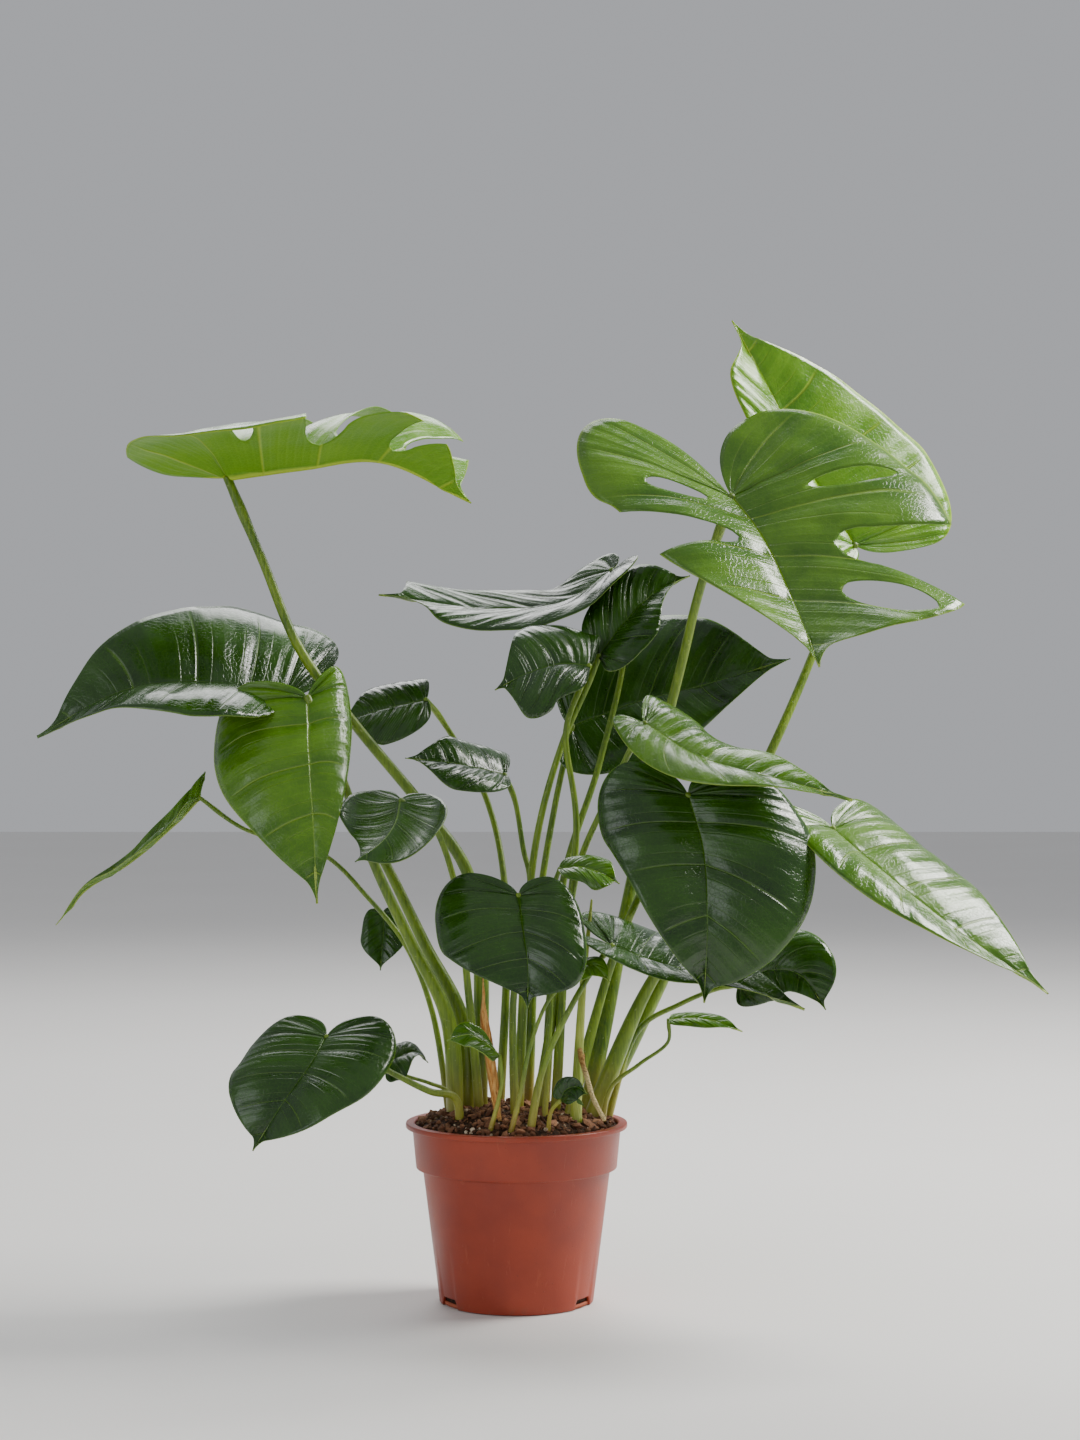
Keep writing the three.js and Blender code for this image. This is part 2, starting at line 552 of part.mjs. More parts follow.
function lathe(profile) {
  const geometry = new THREE.LatheGeometry(profile.map(([r, z]) => new THREE.Vector2(r, z)), LATHE_STEPS);
  return solidFrom(geometry.rotateX(Math.PI / 2));
}

function potSolid() {
  const collarTop = RIM_RADIUS - LIP_OVERHANG;
  const collarLow = collarTop - COLLAR_TAPER;
  const shell = lathe([
    [0, 0],
    [BASE_RADIUS, 0],
    [bodyTop, collarBase],
    [collarLow, collarBase],
    [collarTop, POT_HEIGHT - LIP_HEIGHT],
    [RIM_RADIUS, POT_HEIGHT - LIP_HEIGHT],
    [RIM_RADIUS, POT_HEIGHT],
    [collarTop - POT_WALL, POT_HEIGHT],
    [collarLow - POT_WALL, collarBase + POT_WALL],
    [bodyTop - POT_WALL, collarBase + POT_WALL / 2],
    [BASE_RADIUS - POT_WALL, POT_FLOOR],
    [0, POT_FLOOR],
  ]);
  const cuts = [];
  for (let k = 0; k < DRAIN_COUNT; k++) {
    const hole = new THREE.CylinderGeometry(DRAIN_RADIUS, DRAIN_RADIUS, 3 * POT_FLOOR, 12).rotateX(Math.PI / 2);
    const angle = (2 * Math.PI * k) / DRAIN_COUNT;
    hole.translate(DRAIN_CIRCLE * Math.cos(angle), DRAIN_CIRCLE * Math.sin(angle), POT_FLOOR / 2);
    cuts.push(solidFrom(hole));
  }
  for (let k = 0; k < 3; k++) {
    const notch = new THREE.BoxGeometry(NOTCH_WIDTH, NOTCH_DEPTH, 2 * NOTCH_HEIGHT);
    notch.translate(0, BASE_RADIUS, 0);
    cuts.push(solidFrom(notch.rotateZ((2 * Math.PI * k) / 3)));
  }
  return cuts.reduce((pot, cut) => pot.subtract(cut), shell);
}

function soilSolid() {
  const top = POT_HEIGHT - SOIL_DROP;
  const inner = (z) => {
    const body = BASE_RADIUS + ((bodyTop - BASE_RADIUS) * z) / collarBase;
    const collar = RIM_RADIUS - LIP_OVERHANG - (COLLAR_TAPER * (POT_HEIGHT - z)) / COLLAR_HEIGHT;
    return (z <= collarBase ? body : collar) - POT_WALL - 2 * CLEARANCE;
  };
  const edge = inner(top);
  return lathe([
    [0, POT_FLOOR + CLEARANCE],
    [inner(POT_FLOOR), POT_FLOOR + CLEARANCE],
    [inner(collarBase - 1), collarBase - 1],
    [inner(collarBase - 1), collarBase + POT_WALL + 1],
    [edge, top],
    ...SOIL_HEAP.map(([out, up]) => [edge * out, top + SOIL_MOUND * up]),
  ]);
}

// ---- assembly ----
// Each piece is trimmed by the ones before it, grown by the clearance, so that no two touch.
const group = new THREE.Group();
const placed = [];

function overlapping(a, b) {
  return [0, 1, 2].every((k) => a.min[k] <= b.max[k] && b.min[k] <= a.max[k]);
}

function place(name, solid, grown, colour, roughness) {
  let piece = solid;
  for (const other of placed) {
    if (overlapping(piece.boundingBox(), other.boundingBox())) piece = piece.subtract(other);
  }
  const parts = piece.decompose();
  piece = parts.reduce((best, p) => (p.volume() > best.volume() ? p : best));
  placed.push(grown);
  const mesh = piece.getMesh();
  const geometry = new THREE.BufferGeometry();
  geometry.setAttribute("position", new THREE.BufferAttribute(Float32Array.from(mesh.vertProperties), 3));
  geometry.setIndex(new THREE.BufferAttribute(Uint32Array.from(mesh.triVerts), 1));
  geometry.computeVertexNormals();
  const material = new THREE.MeshStandardMaterial({ color: colour, roughness, metalness: 0 });
  const body = new THREE.Mesh(geometry, material);
  body.name = name;
  group.add(body);
}

const pot = potSolid();
place("pot", pot, pot, TERRACOTTA, 0.45);

for (const leaf of LEAVES) {
  const grown = bladeSolid(leaf, LEAF_THICKNESS, CLEARANCE);
  place(leaf.name, bladeSolid(leaf, LEAF_THICKNESS, 0), grown, leaf.colour, 0.35);
}
for (const leaf of LEAVES) {
  const route = stalkRoute(leaf);
  const rod = rodSolid(route, leaf.radii, 0);
  place(`${leaf.name}_stalk`, rod, rodSolid(route, leaf.radii, CLEARANCE), STALK_GREEN, 0.45);
}
const spearRoute = NEW_LEAF_SPEAR.route.map(vec);
const spearGrown = rodSolid(spearRoute, NEW_LEAF_SPEAR.radii, CLEARANCE);
place(NEW_LEAF_SPEAR.name, rodSolid(spearRoute, NEW_LEAF_SPEAR.radii, 0), spearGrown, BRIGHT_GREEN, 0.45);

const rootRoute = AERIAL_ROOT.route.map(vec);
const rootGrown = rodSolid(rootRoute, AERIAL_ROOT.radii, CLEARANCE);
place(AERIAL_ROOT.name, rodSolid(rootRoute, AERIAL_ROOT.radii, 0), rootGrown, ROOT_BROWN, 0.8);

const sheathGrown = bladeSolid(DRIED_SHEATH, SHEATH_THICKNESS, CLEARANCE);
place(DRIED_SHEATH.name, bladeSolid(DRIED_SHEATH, SHEATH_THICKNESS, 0), sheathGrown, SHEATH_TAN, 0.7);

const soil = soilSolid();
place("soil", soil, soil, SOIL_BROWN, 0.95);

export default group;
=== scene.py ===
import json
import math

import bpy
import numpy as np
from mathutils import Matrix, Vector

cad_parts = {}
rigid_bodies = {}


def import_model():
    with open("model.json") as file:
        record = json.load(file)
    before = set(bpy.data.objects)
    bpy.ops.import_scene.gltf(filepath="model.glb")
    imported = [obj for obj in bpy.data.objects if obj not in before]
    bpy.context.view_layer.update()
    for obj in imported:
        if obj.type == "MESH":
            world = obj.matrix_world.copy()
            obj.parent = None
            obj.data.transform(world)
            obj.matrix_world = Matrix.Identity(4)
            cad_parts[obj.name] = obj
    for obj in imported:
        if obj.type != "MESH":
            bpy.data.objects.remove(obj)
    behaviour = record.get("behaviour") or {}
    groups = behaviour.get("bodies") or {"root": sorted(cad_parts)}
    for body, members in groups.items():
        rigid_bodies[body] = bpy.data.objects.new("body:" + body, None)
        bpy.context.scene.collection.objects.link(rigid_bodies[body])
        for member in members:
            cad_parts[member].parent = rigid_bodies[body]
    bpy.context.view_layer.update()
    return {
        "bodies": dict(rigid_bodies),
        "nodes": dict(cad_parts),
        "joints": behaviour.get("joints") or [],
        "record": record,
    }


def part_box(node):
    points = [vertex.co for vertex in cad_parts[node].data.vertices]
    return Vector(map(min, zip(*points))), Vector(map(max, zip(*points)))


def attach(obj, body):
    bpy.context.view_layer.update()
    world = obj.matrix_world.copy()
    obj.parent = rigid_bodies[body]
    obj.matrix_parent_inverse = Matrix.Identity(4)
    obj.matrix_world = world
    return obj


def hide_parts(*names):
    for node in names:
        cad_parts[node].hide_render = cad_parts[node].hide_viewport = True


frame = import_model()

# ---------------------------------------------------------------- sizes
MM = 0.001
_, POT_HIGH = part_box("pot")
POT_HEIGHT = POT_HIGH[2] / MM
RIM_RADIUS = POT_HIGH[0] / MM
BASE_RADIUS = 59
POT_WALL = 2.2
POT_FLOOR = 3
COLLAR_HEIGHT = 35
COLLAR_STEP = 5
COLLAR_TAPER = 3
LIP_HEIGHT = 4
LIP_OVERHANG = 5
NOTCH_WIDTH = 22
NOTCH_HEIGHT = 7
DRAIN_RADIUS = 5
DRAIN_CIRCLE = 38
DRAIN_COUNT = 6
SOIL_DROP = 3
SOIL_MOUND = 12
STALK_IN_SOIL = 16
BLADE_THICKNESS = 0.55

rng = np.random.default_rng(7)


# ---------------------------------------------------------------- vectors and paths
def unit(v):
    """Each vector divided by its length."""
    return v / np.maximum(np.linalg.norm(v, axis=-1, keepdims=True), 1e-9)


def step(lo, hi, x):
    """The smooth step 3t^2 - 2t^3 from 0 at lo to 1 at hi."""
    t = np.clip((x - lo) / (hi - lo), 0, 1)
    return t * t * (3 - 2 * t)


def plant(point):
    """A point measured from the centre of the pot's rim, in millimetres above the pot's underside."""
    x, y = point[:2]
    z = point[2] if len(point) > 2 else -STALK_IN_SOIL
    return np.array([x, y, z + POT_HEIGHT], float)


def smooth_path(points, steps):
    """A centripetal Catmull-Rom curve through the points, resampled at equal lengths of arc."""
    p = np.asarray(points, float)
    p = np.vstack([2 * p[0] - p[1], p, 2 * p[-1] - p[-2]])
    gap = np.maximum(np.linalg.norm(np.diff(p, axis=0), axis=1) ** 0.5, 1e-4)
    t = np.linspace(0, 1, 33)[:, None]
    runs = []
    for k in range(len(p) - 3):
        a, b, c, d = p[k : k + 4]
        g0, g1, g2 = gap[k : k + 3]
        m1 = ((b - a) / g0 - (c - a) / (g0 + g1) + (c - b) / g1) * g1
        m2 = ((c - b) / g1 - (d - b) / (g1 + g2) + (d - c) / g2) * g1
        runs.append(b + m1 * t + (3 * (c - b) - 2 * m1 - m2) * t**2 + (2 * (b - c) + m1 + m2) * t**3)
    line = np.vstack([r[:-1] for r in runs] + [runs[-1][-1:]])
    arc = np.r_[0, np.cumsum(np.linalg.norm(np.diff(line, axis=0), axis=1))]
    want = np.linspace(0, arc[-1], steps + 1)
    return np.stack([np.interp(want, arc, line[:, k]) for k in range(3)], 1)


def carried(side, along, start):
    """The side vector turned along the path by the least rotation from each direction to the next."""
    out = np.zeros_like(along)
    out[start] = side
    for run in (range(start + 1, len(along)), range(start - 1, -1, -1)):
        for i in run:
            before = i - 1 if i > start else i + 1
            axis = np.cross(along[before], along[i])
            turned = np.cross(axis, out[before])
            out[i] = out[before] + turned + np.cross(axis, turned) / (1 + along[before] @ along[i])
    return out


def bezier(a, b, c, d, t):
    """A cubic Bezier curve with end points a and d and handles b and c."""
    t = t[..., None]
    a, b, c, d = (np.asarray(q, float) for q in (a, b, c, d))
    return a * (1 - t) ** 3 + 3 * b * t * (1 - t) ** 2 + 3 * c * t * t * (1 - t) + d * t**3


def ripple(p, scale, seed):
    """A smooth wandering value from -1 to 1: three sines of the place, turned and shifted by the seed."""
    a, b, c = (p[..., k] / scale for k in range(3))
    s = seed * 1.7
    first = np.sin(a * 1.3 + b * 0.9 + s)
    second = np.sin(b * 1.7 - c * 1.1 + 2.1 * s)
    third = np.sin(c * 1.5 + a * 0.7 + 3.3 * s)
    return (first + second + third) / 3


# ---------------------------------------------------------------- mesh building
def make_object(name, points, faces, uv=None, materials=(), face_material=None, shades=None):
    """A smooth-shaded object from millimetre points; faces: index arrays; shades: numbers kept on points."""
    mesh = bpy.data.meshes.new(name)
    rows = [tuple(f) for block in faces for f in block.tolist()]
    mesh.from_pydata((np.asarray(points) * MM).tolist(), [], rows)
    if uv is not None:
        layer = mesh.uv_layers.new(name="surface")
        layer.data.foreach_set("uv", np.concatenate([b.reshape(-1, 2) for b in uv]).ravel())
    for material in materials:
        mesh.materials.append(material)
    if face_material is not None:
        mesh.polygons.foreach_set("material_index", np.concatenate(face_material).astype(np.int32))
    for key, values in (shades or {}).items():
        mesh.attributes.new(key, "FLOAT", "POINT").data.foreach_set("value", np.asarray(values, np.float32))
    mesh.polygons.foreach_set("use_smooth", np.ones(len(rows), bool))
    mesh.update()
    thing = bpy.data.objects.new(name, mesh)
    bpy.context.scene.collection.objects.link(thing)
    return thing


def grid_faces(rows, columns, wrap=False):
    """Quads of a grid whose point number is row * columns + column; wrap joins its last and first columns."""
    i, j = np.meshgrid(np.arange(rows - 1), np.arange(columns if wrap else columns - 1), indexing="ij")
    k = (j + 1) % columns
    quads = np.stack([i * columns + j, i * columns + k, (i + 1) * columns + k, (i + 1) * columns + j], -1)
    return quads.reshape(-1, 4)


def welded(points, quads):
    """Points within a micrometre of each other become one; the quads are renumbered to match, and some lose a
    corner.
    """
    _, first, where = np.unique(np.round(points * 1000), axis=0, return_index=True, return_inverse=True)
    where = where.ravel()
    return points[first], where[quads]


def split_faces(quads):
    """Sorts welded quads into whole quads and triangles; returns the faces and the corners that were kept."""
    following = np.roll(quads, -1, axis=1)
    same = quads == following
    whole = ~same.any(1)
    one = same.sum(1) == 1
    kept = np.stack([np.delete(np.arange(4), k) for k in range(4)])
    drop = same[one].argmax(1)
    corners = kept[drop]
    return whole, one, np.take_along_axis(quads[one], corners, 1), corners


# ---------------------------------------------------------------- leaves
# rib: middle rib, stalk end to tip. left and right: edge points where the blade is widest.
# foot: where the stalk enters the soil. stalk: points up to the rib. radii: at the leaf and at the foot.
# wide: where the blade is widest along the rib. lobe: how far the rear lobes reach behind the stalk.
# gap: where across the blade the lobes end. full: how full the outline stays towards the tip.
# lobe and full may be a pair, for the left and the right half.
USUAL = {"wide": 0.4, "lobe": 0, "gap": 0.5, "full": 0.42, "arch": 0.1, "curl": 0.1, "pleats": 1}
LEAVES = [
  {
    "name": "split_leaf_right", "finish": "mid_green",
    "rib": [[166, 15, 481], [187, -15, 449], [207, -62, 397], [220, -125, 347]],
    "left": [324, 0, 486], "right": [66, -20, 484],
    "foot": [50, 10], "stalk": [[109, 60, 269], [130, 52, 355], [143, 40, 410]], "radii": [3.4, 6.5],
    "wide": 0.16, "lobe": [0.4, 0.36], "gap": 0.44, "full": 0.75, "arch": 0.05,
    "slits": [
      {"side": "right", "at": 0.36, "from": 0.22, "to": 0.62, "width": 0.06},
      {"side": "right", "at": 0.54, "from": 0.22, "to": 1, "width": 0.07},
      {"side": "left", "at": 0.36, "from": 0.36, "to": 0.88, "width": 0.06},
      {"side": "left", "at": 0.54, "from": 0.32, "to": 1, "width": 0.1},
      {"side": "left", "at": 0.7, "from": 0.32, "to": 0.93, "width": 0.1},
    ],
  },
  {
    # This leaf's finish is its green lightened to paint the light shining through its backlit blade.
    "name": "upper_back_leaf", "finish": "bright_green",
    "rib": [[273, 120, 450], [239, 122, 507], [209, 120, 567], [173, 105, 630]],
    "left": [205, 85, 500], "right": [338, 170, 530],
    "foot": [54, 27], "stalk": [[202, 70, 285], [229, 92, 342], [259, 118, 413]], "radii": [3.2, 6],
    "wide": 0.28, "lobe": 0.1, "gap": 0.55, "full": [0.95, 0.3], "arch": 0.05, "curl": 0.02,
  },
  {
    "name": "centre_back_leaf", "finish": "deep_green",
    "rib": [[44, 105, 303], [95, 112, 322], [156, 125, 338], [221, 120, 358]],
    "left": [108, 150, 395], "right": [110, 85, 279],
    "foot": [8, 46], "stalk": [[16, 66, 150], [30, 84, 240]], "radii": [2.4, 4],
    "wide": 0.42, "lobe": 0.05, "gap": 0.4, "arch": 0.04,
  },
  {
    "name": "centre_upright_leaf", "finish": "deep_green",
    "rib": [[64, 32, 358], [85, 45, 385], [109, 62, 409], [137, 75, 423]],
    "left": [77, 70, 424], "right": [107, 20, 378],
    "foot": [0, 10], "stalk": [[14, 6, 208], [35, 16, 289], [53, 28, 331]], "radii": [2.4, 4],
    "wide": 0.5, "lobe": 0.02, "arch": 0.08,
  },
  {
    "name": "centre_round_leaf", "finish": "deep_green",
    "rib": [[56, 6, 350], [33, -5, 351], [7, -20, 343], [-16, -30, 331]],
    "left": [22, -40, 314], "right": [16, 25, 385],
    "foot": [12, -10], "stalk": [[46, 10, 223], [38, 4, 300], [48, 4, 331]], "radii": [2.2, 4],
    "wide": 0.5, "lobe": 0.02, "full": 0.7, "arch": 0.08,
  },
  {
    "name": "long_back_leaf", "finish": "deep_green",
    "rib": [[75, 84, 428], [38, 80, 403], [-22, 84, 397], [-110, 74, 408]],
    "left": [-29, 30, 384], "right": [-55, 125, 419],
    "foot": [20, 28], "stalk": [[36, 46, 180], [66, 78, 276], [86, 96, 371]], "radii": [2.2, 4],
    "wide": 0.6, "lobe": 0.1, "gap": 0.4, "full": 0.85, "arch": 0.04,
  },
  {
    "name": "right_shelf_leaf", "finish": "mid_green",
    "rib": [[97, -45, 306], [136, -85, 281], [182, -115, 268], [241, -150, 252]],
    "left": [148, -30, 298], "right": [116, -120, 268],
    "foot": [28, -8], "stalk": [[45, -4, 186], [67, -20, 244], [87, -38, 287]], "radii": [2.2, 4],
    "wide": 0.35, "lobe": 0.07, "curl": 0.05,
  },
  {
    "name": "right_heart_leaf", "finish": "deep_green",
    "rib": [[127, -90, 253], [137, -108, 213], [139, -125, 163], [137, -120, 103]],
    "left": [219, -105, 219], "right": [64, -110, 228],
    "foot": [34, -24], "stalk": [[74, 4, 124], [99, -24, 187], [116, -70, 234]], "radii": [2.4, 4.5],
    "wide": 0.16, "lobe": 0.16, "full": 0.45, "arch": 0.09, "curl": 0.12,
  },
  {
    "name": "far_right_leaf", "finish": "mid_green",
    "rib": [[237, -60, 227], [267, -85, 200], [317, -110, 159], [387, -120, 110]],
    "left": [318, -25, 211], "right": [236, -120, 198],
    "foot": [50, -6], "stalk": [[106, 0, 111], [154, -30, 172], [213, -55, 220]], "radii": [2.4, 7],
    "wide": 0.28, "lobe": 0.09, "gap": 0.45, "arch": 0.08,
  },
  {
    # This leaf's finish is its green lightened to paint the light shining through its backlit blade.
    "name": "split_leaf_left", "finish": "bright_green",
    "rib": [[-222, 0, 494], [-166, 0, 501], [-105, 5, 507], [-35, 15, 476]],
    "left": [-116, 130, 560], "right": [-184, -112, 532],
    "foot": [-28, 14],
    "stalk": [[-35, 10, 182], [-70, 5, 238], [-123, 2, 303], [-166, -4, 362], [-195, -3, 431]],
    "radii": [3.4, 6],
    "wide": 0.2, "lobe": 0.36, "gap": 0.35, "full": 0.5,
    "slits": [
      {"side": "right", "at": 0.38, "from": 0.35, "to": 0.72, "width": 0.05},
      {"side": "right", "at": 0.58, "from": 0.22, "to": 1, "width": 0.1},
      {"side": "right", "at": 0.76, "from": 0.25, "to": 1, "width": 0.05},
      {"side": "left", "at": 0.38, "from": 0.3, "to": 1, "width": 0.07},
      {"side": "left", "at": 0.58, "from": 0.25, "to": 1, "width": 0.08},
      {"side": "left", "at": 0.76, "from": 0.3, "to": 1, "width": 0.05},
    ],
  },
  {
    "name": "left_long_leaf", "finish": "deep_green",
    "rib": [[-181, 30, 326], [-236, 5, 337], [-298, -15, 331], [-364, -25, 296]],
    "left": [-222, -80, 314], "right": [-208, 90, 398],
    "foot": [-38, 0], "stalk": [[-42, -4, 78], [-70, 0, 135], [-102, 8, 199], [-145, 22, 273]],
    "radii": [3, 6.5],
    "wide": 0.22, "lobe": [0.03, 0.16], "full": 0.3, "arch": 0.08, "curl": 0.06,
  },
  {
    "name": "left_hanging_leaf", "finish": "mid_green",
    "rib": [[-158, -32, 325], [-154, -62, 278], [-149, -85, 227], [-146, -90, 173]],
    "left": [-125, -25, 306], "right": [-229, -40, 282],
    "foot": [-46, -16], "stalk": [[-52, -22, 80], [-79, -24, 137], [-108, -30, 200], [-137, -34, 278]],
    "radii": [3, 6.5],
    "wide": 0.25, "lobe": 0.08, "arch": 0.12, "curl": 0.05,
  },
  {
    "name": "twisted_leaf", "finish": "mid_green",
    "rib": [[-246, 20, 248], [-262, 12, 230], [-298, 2, 198], [-330, -2, 178], [-354, 0, 151]],
    "left": [-274, -10, 222], "right": [-250, 26, 262],
    "foot": [-50, 16],
    "stalk": [[-66, 22, 83], [-87, 26, 134], [-116, 28, 170], [-150, 28, 203], [-212, 20, 224]],
    "radii": [1.6, 2.6],
    "wide": 0.14, "full": 0.2, "arch": 0.05,
  },
  {
    "name": "left_inner_leaf", "finish": "deep_green",
    "rib": [[-86, -60, 248], [-89, -85, 231], [-99, -105, 217], [-116, -120, 205]],
    "left": [-131, -70, 237], "right": [-55, -110, 224],
    "foot": [-26, -10], "stalk": [[-36, -14, 94], [-47, -30, 186], [-65, -48, 233]], "radii": [2.2, 3.8],
    "lobe": 0.2, "gap": 0.4, "pleats": 0.3,
  },
  {
    "name": "left_back_leaf", "finish": "deep_green",
    "rib": [[-72, 58, 324], [-91, 48, 320], [-114, 38, 314], [-138, 28, 306]],
    "left": [-101, 23, 291], "right": [-104, 73, 339],
    "foot": [-14, 36], "stalk": [[-9, 62, 167], [-25, 90, 245], [-60, 76, 308]], "radii": [2.2, 3.6],
    "wide": 0.45, "lobe": 0.05,
  },
  {
    "name": "left_rear_leaf", "finish": "deep_green",
    "rib": [[-10, 60, 265], [-29, 45, 270], [-52, 30, 275], [-86, 15, 279]],
    "left": [-44, 10, 256], "right": [-42, 75, 294],
    "foot": [-4, 54], "stalk": [[10, 58, 182], [5, 62, 205], [-2, 62, 245]], "radii": [2, 3.4],
    "wide": 0.45, "lobe": 0.05,
  },
  {
    "name": "front_heart_leaf", "finish": "deep_green",
    "rib": [[2, -75, 178], [5, -92, 157], [9, -108, 129], [9, -112, 98]],
    "left": [50, -95, 158], "right": [-59, -90, 161],
    "foot": [0, -30], "stalk": [[-2, -40, 97], [7, -44, 157], [7, -58, 174]], "radii": [2.2, 3.6],
    "wide": 0.28, "lobe": 0.16, "full": 0.85, "arch": 0.08,
  },
  {
    "name": "low_left_leaf", "finish": "deep_green",
    "rib": [[-141, -70, 73], [-150, -90, 56], [-168, -110, 31], [-191, -115, -5]],
    "left": [-91, -95, 61], "right": [-203, -85, 60],
    "foot": [-42, -36], "stalk": [[-46, -45, 24], [-64, -55, 30], [-101, -65, 50]], "radii": [1.8, 3.6],
    "wide": 0.14, "lobe": 0.2, "full": 0.5, "arch": 0.08,
  },
  {
    "name": "low_left_small_leaf", "finish": "deep_green",
    "rib": [[-97, -38, 50], [-88, -33, 54], [-77, -23, 56], [-67, -13, 47]],
    "left": [-85, -13, 64], "right": [-83, -48, 41],
    "foot": [-30, -26], "stalk": [[-50, -32, 26], [-65, -38, 34], [-87, -42, 42]], "radii": [1.3, 2],
  },
  {
    "name": "low_right_leaf", "finish": "deep_green",
    "rib": [[72, -60, 140], [107, -70, 128], [158, -80, 116], [213, -85, 94]],
    "left": [109, -20, 151], "right": [99, -100, 123],
    "foot": [8, -60], "stalk": [[20, -60, 47], [40, -70, 93], [60, -66, 126]], "radii": [2, 3.2],
    "wide": 0.22, "lobe": 0.2, "gap": 0.4, "full": 0.4, "arch": 0.04,
  },
  {
    "name": "low_right_back_leaf", "finish": "deep_green",
    "rib": [[173, 20, 103], [195, 10, 115], [218, 0, 112], [237, -5, 86]],
    "left": [219, 15, 147], "right": [195, 0, 93],
    "foot": [66, 12], "stalk": [[95, 24, 68], [126, 24, 87], [154, 22, 99]], "radii": [1.8, 3],
    "lobe": 0.05,
  },
  {
    "name": "young_centre_leaf", "finish": "mid_green",
    "rib": [[33, -20, 195], [48, -30, 197], [63, -38, 193], [78, -42, 185]],
    "left": [64, -20, 205], "right": [56, -50, 183],
    "foot": [20, -34], "stalk": [[26, -20, 87], [28, -15, 148], [29, -18, 182]], "radii": [1.6, 2.4],
    "lobe": 0.05,
  },
  {
    "name": "dark_round_leaf", "finish": "deep_green",
    "rib": [[-106, 60, 156], [-105, 52, 143], [-106, 46, 129], [-107, 42, 112]],
    "left": [-88, 48, 137], "right": [-123, 50, 137],
    "foot": [-34, 34], "stalk": [[-48, 40, 58], [-72, 52, 107], [-96, 60, 150]], "radii": [1.5, 2.4],
    "lobe": 0.1,
  },
  {
    "name": "curled_leaf", "finish": "mid_green",
    "rib": [[33, -72, 111], [44, -76, 123], [56, -80, 127], [70, -84, 115]],
    "left": [55, -70, 133], "right": [51, -88, 118],
    "foot": [-8, -66], "stalk": [[4, -70, 33], [10, -74, 63], [22, -72, 96]], "radii": [1.4, 2.2],
  },
  {
    "name": "crown_leaf_left", "finish": "mid_green",
    "rib": [[-12, -72, 59], [-23, -76, 69], [-35, -80, 75], [-51, -84, 71]],
    "left": [-34, -70, 82], "right": [-30, -90, 65],
    "foot": [-24, -62], "stalk": [[-12, -70, 29], [-10, -71, 42]], "radii": [1.4, 2.2],
  },
  {
    "name": "crown_leaf_right", "finish": "deep_green",
    "rib": [[33, -74, 26], [37, -78, 34], [45, -82, 37], [53, -86, 32]],
    "left": [33, -76, 42], "right": [49, -90, 25],
    "foot": [24, -60], "stalk": [[26, -68, 16]], "radii": [1.4, 2.2],
  },
  {
    "name": "thin_right_leaf", "finish": "mid_green",
    "rib": [[116, -10, 79], [132, -14, 81], [151, -18, 79], [172, -20, 71]],
    "left": [144, -6, 84], "right": [139, -24, 75],
    "foot": [64, -18], "stalk": [[72, -14, 27], [94, -10, 45], [116, -8, 62]], "radii": [1.3, 2.2],
  },
]
LEAVES = [{**USUAL, **leaf} for leaf in LEAVES]

DRIED_SHEATH = {
    "name": "dried_sheath", "finish": "sheath",
    "rib": [[-12, -54, 8], [-17, -58, 50], [-23, -58, 90], [-25, -54, 118]],
    "left": [-16, -57, 60], "right": [-24, -57, 60],
    "wide": 0.45, "lobe": 0, "gap": 0.5, "full": 0.6, "arch": 0.45, "curl": 0, "pleats": 1,
}
NEW_LEAF_SPEAR = {"route": [[44, -34], [50, -36, 100], [57, -34, 172]], "radii": [0.8, 5]}
AERIAL_ROOT = {
    "route": [[50, -13, 50], [48, -28, 60], [48, -40, 58], [53, -48, 40], [59, -53, 22], [66, -52, 9]],
    "radii": [1.6, 2.4],
}

RIB_STEPS = 60
U_WIDEST = 0.42
U_SHOULDER = 0.92
SHOULDER = (0.1, 0.9)
FAN_SHARE = 0.26
VEIN_SPREAD = 1.25
VEIN_BOW = (0.55, 0.36)
SINUS_SHARE = 0.2
SINUS_BOW = (0.05, 0.85)
REAR_FULL = 0.62
FLANK_FULL = 0.6
SHOULDER_REACH = 0.86
SHOULDER_RUN = 0.14
TIP_BOW = (0.5, 0.02)
TIP_POINT = (0.025, 0.06)
CURL_START = 0.55
SLIT_ROUND = 0.3
SLIT_FLARE = 1.2
BLADE_COLUMNS = 72
BLADE_ROWS = 16
VEINS = 6
VEIN_DEPTH = 1.3
RIB_GROOVE = 0.35
QUILT = 0.8
FULL_RELIEF = 150  # the length from which a blade has all of its relief
SOIL_GAP = 0.4


class BladeFrame:
    """The rib of a leaf in even steps, its direction, and the vector from rib to edge on each half."""

    def __init__(self, leaf):
        self.rib = smooth_path([plant(p) for p in leaf["rib"]], RIB_STEPS)
        self.along = unit(np.gradient(self.rib, axis=0))
        self.length = np.linalg.norm(np.diff(self.rib, axis=0), axis=1).sum()
        self.relief = min(self.length / FULL_RELIEF, 1) * leaf["pleats"]
        widest = round(leaf["wide"] * RIB_STEPS)
        self.sides = {}
        for name in ("left", "right"):
            self.sides[name] = carried(plant(leaf[name]) - self.rib[widest], self.along, widest)
        across = unit(self.sides["right"]) - unit(self.sides["left"])
        self.up = unit(np.cross(across, self.along))

    def at(self, side, y):
        """Place on the rib, side vector and the half's normal at y along the leaf; straight behind 0."""
        spot = np.clip(y, 0, 1) * RIB_STEPS
        i = np.minimum(spot.astype(int), RIB_STEPS - 1)
        t = (spot - i)[..., None]
        mix = lambda rows: rows[i] * (1 - t) + rows[i + 1] * t
        place = mix(self.rib) + np.minimum(y, 0)[..., None] * self.length * self.along[0]
        across = mix(self.sides[side])
        up, sideways = mix(self.up), unit(across)
        normal = unit(up - sideways * (up * sideways).sum(-1, keepdims=True))
        return place, across, normal


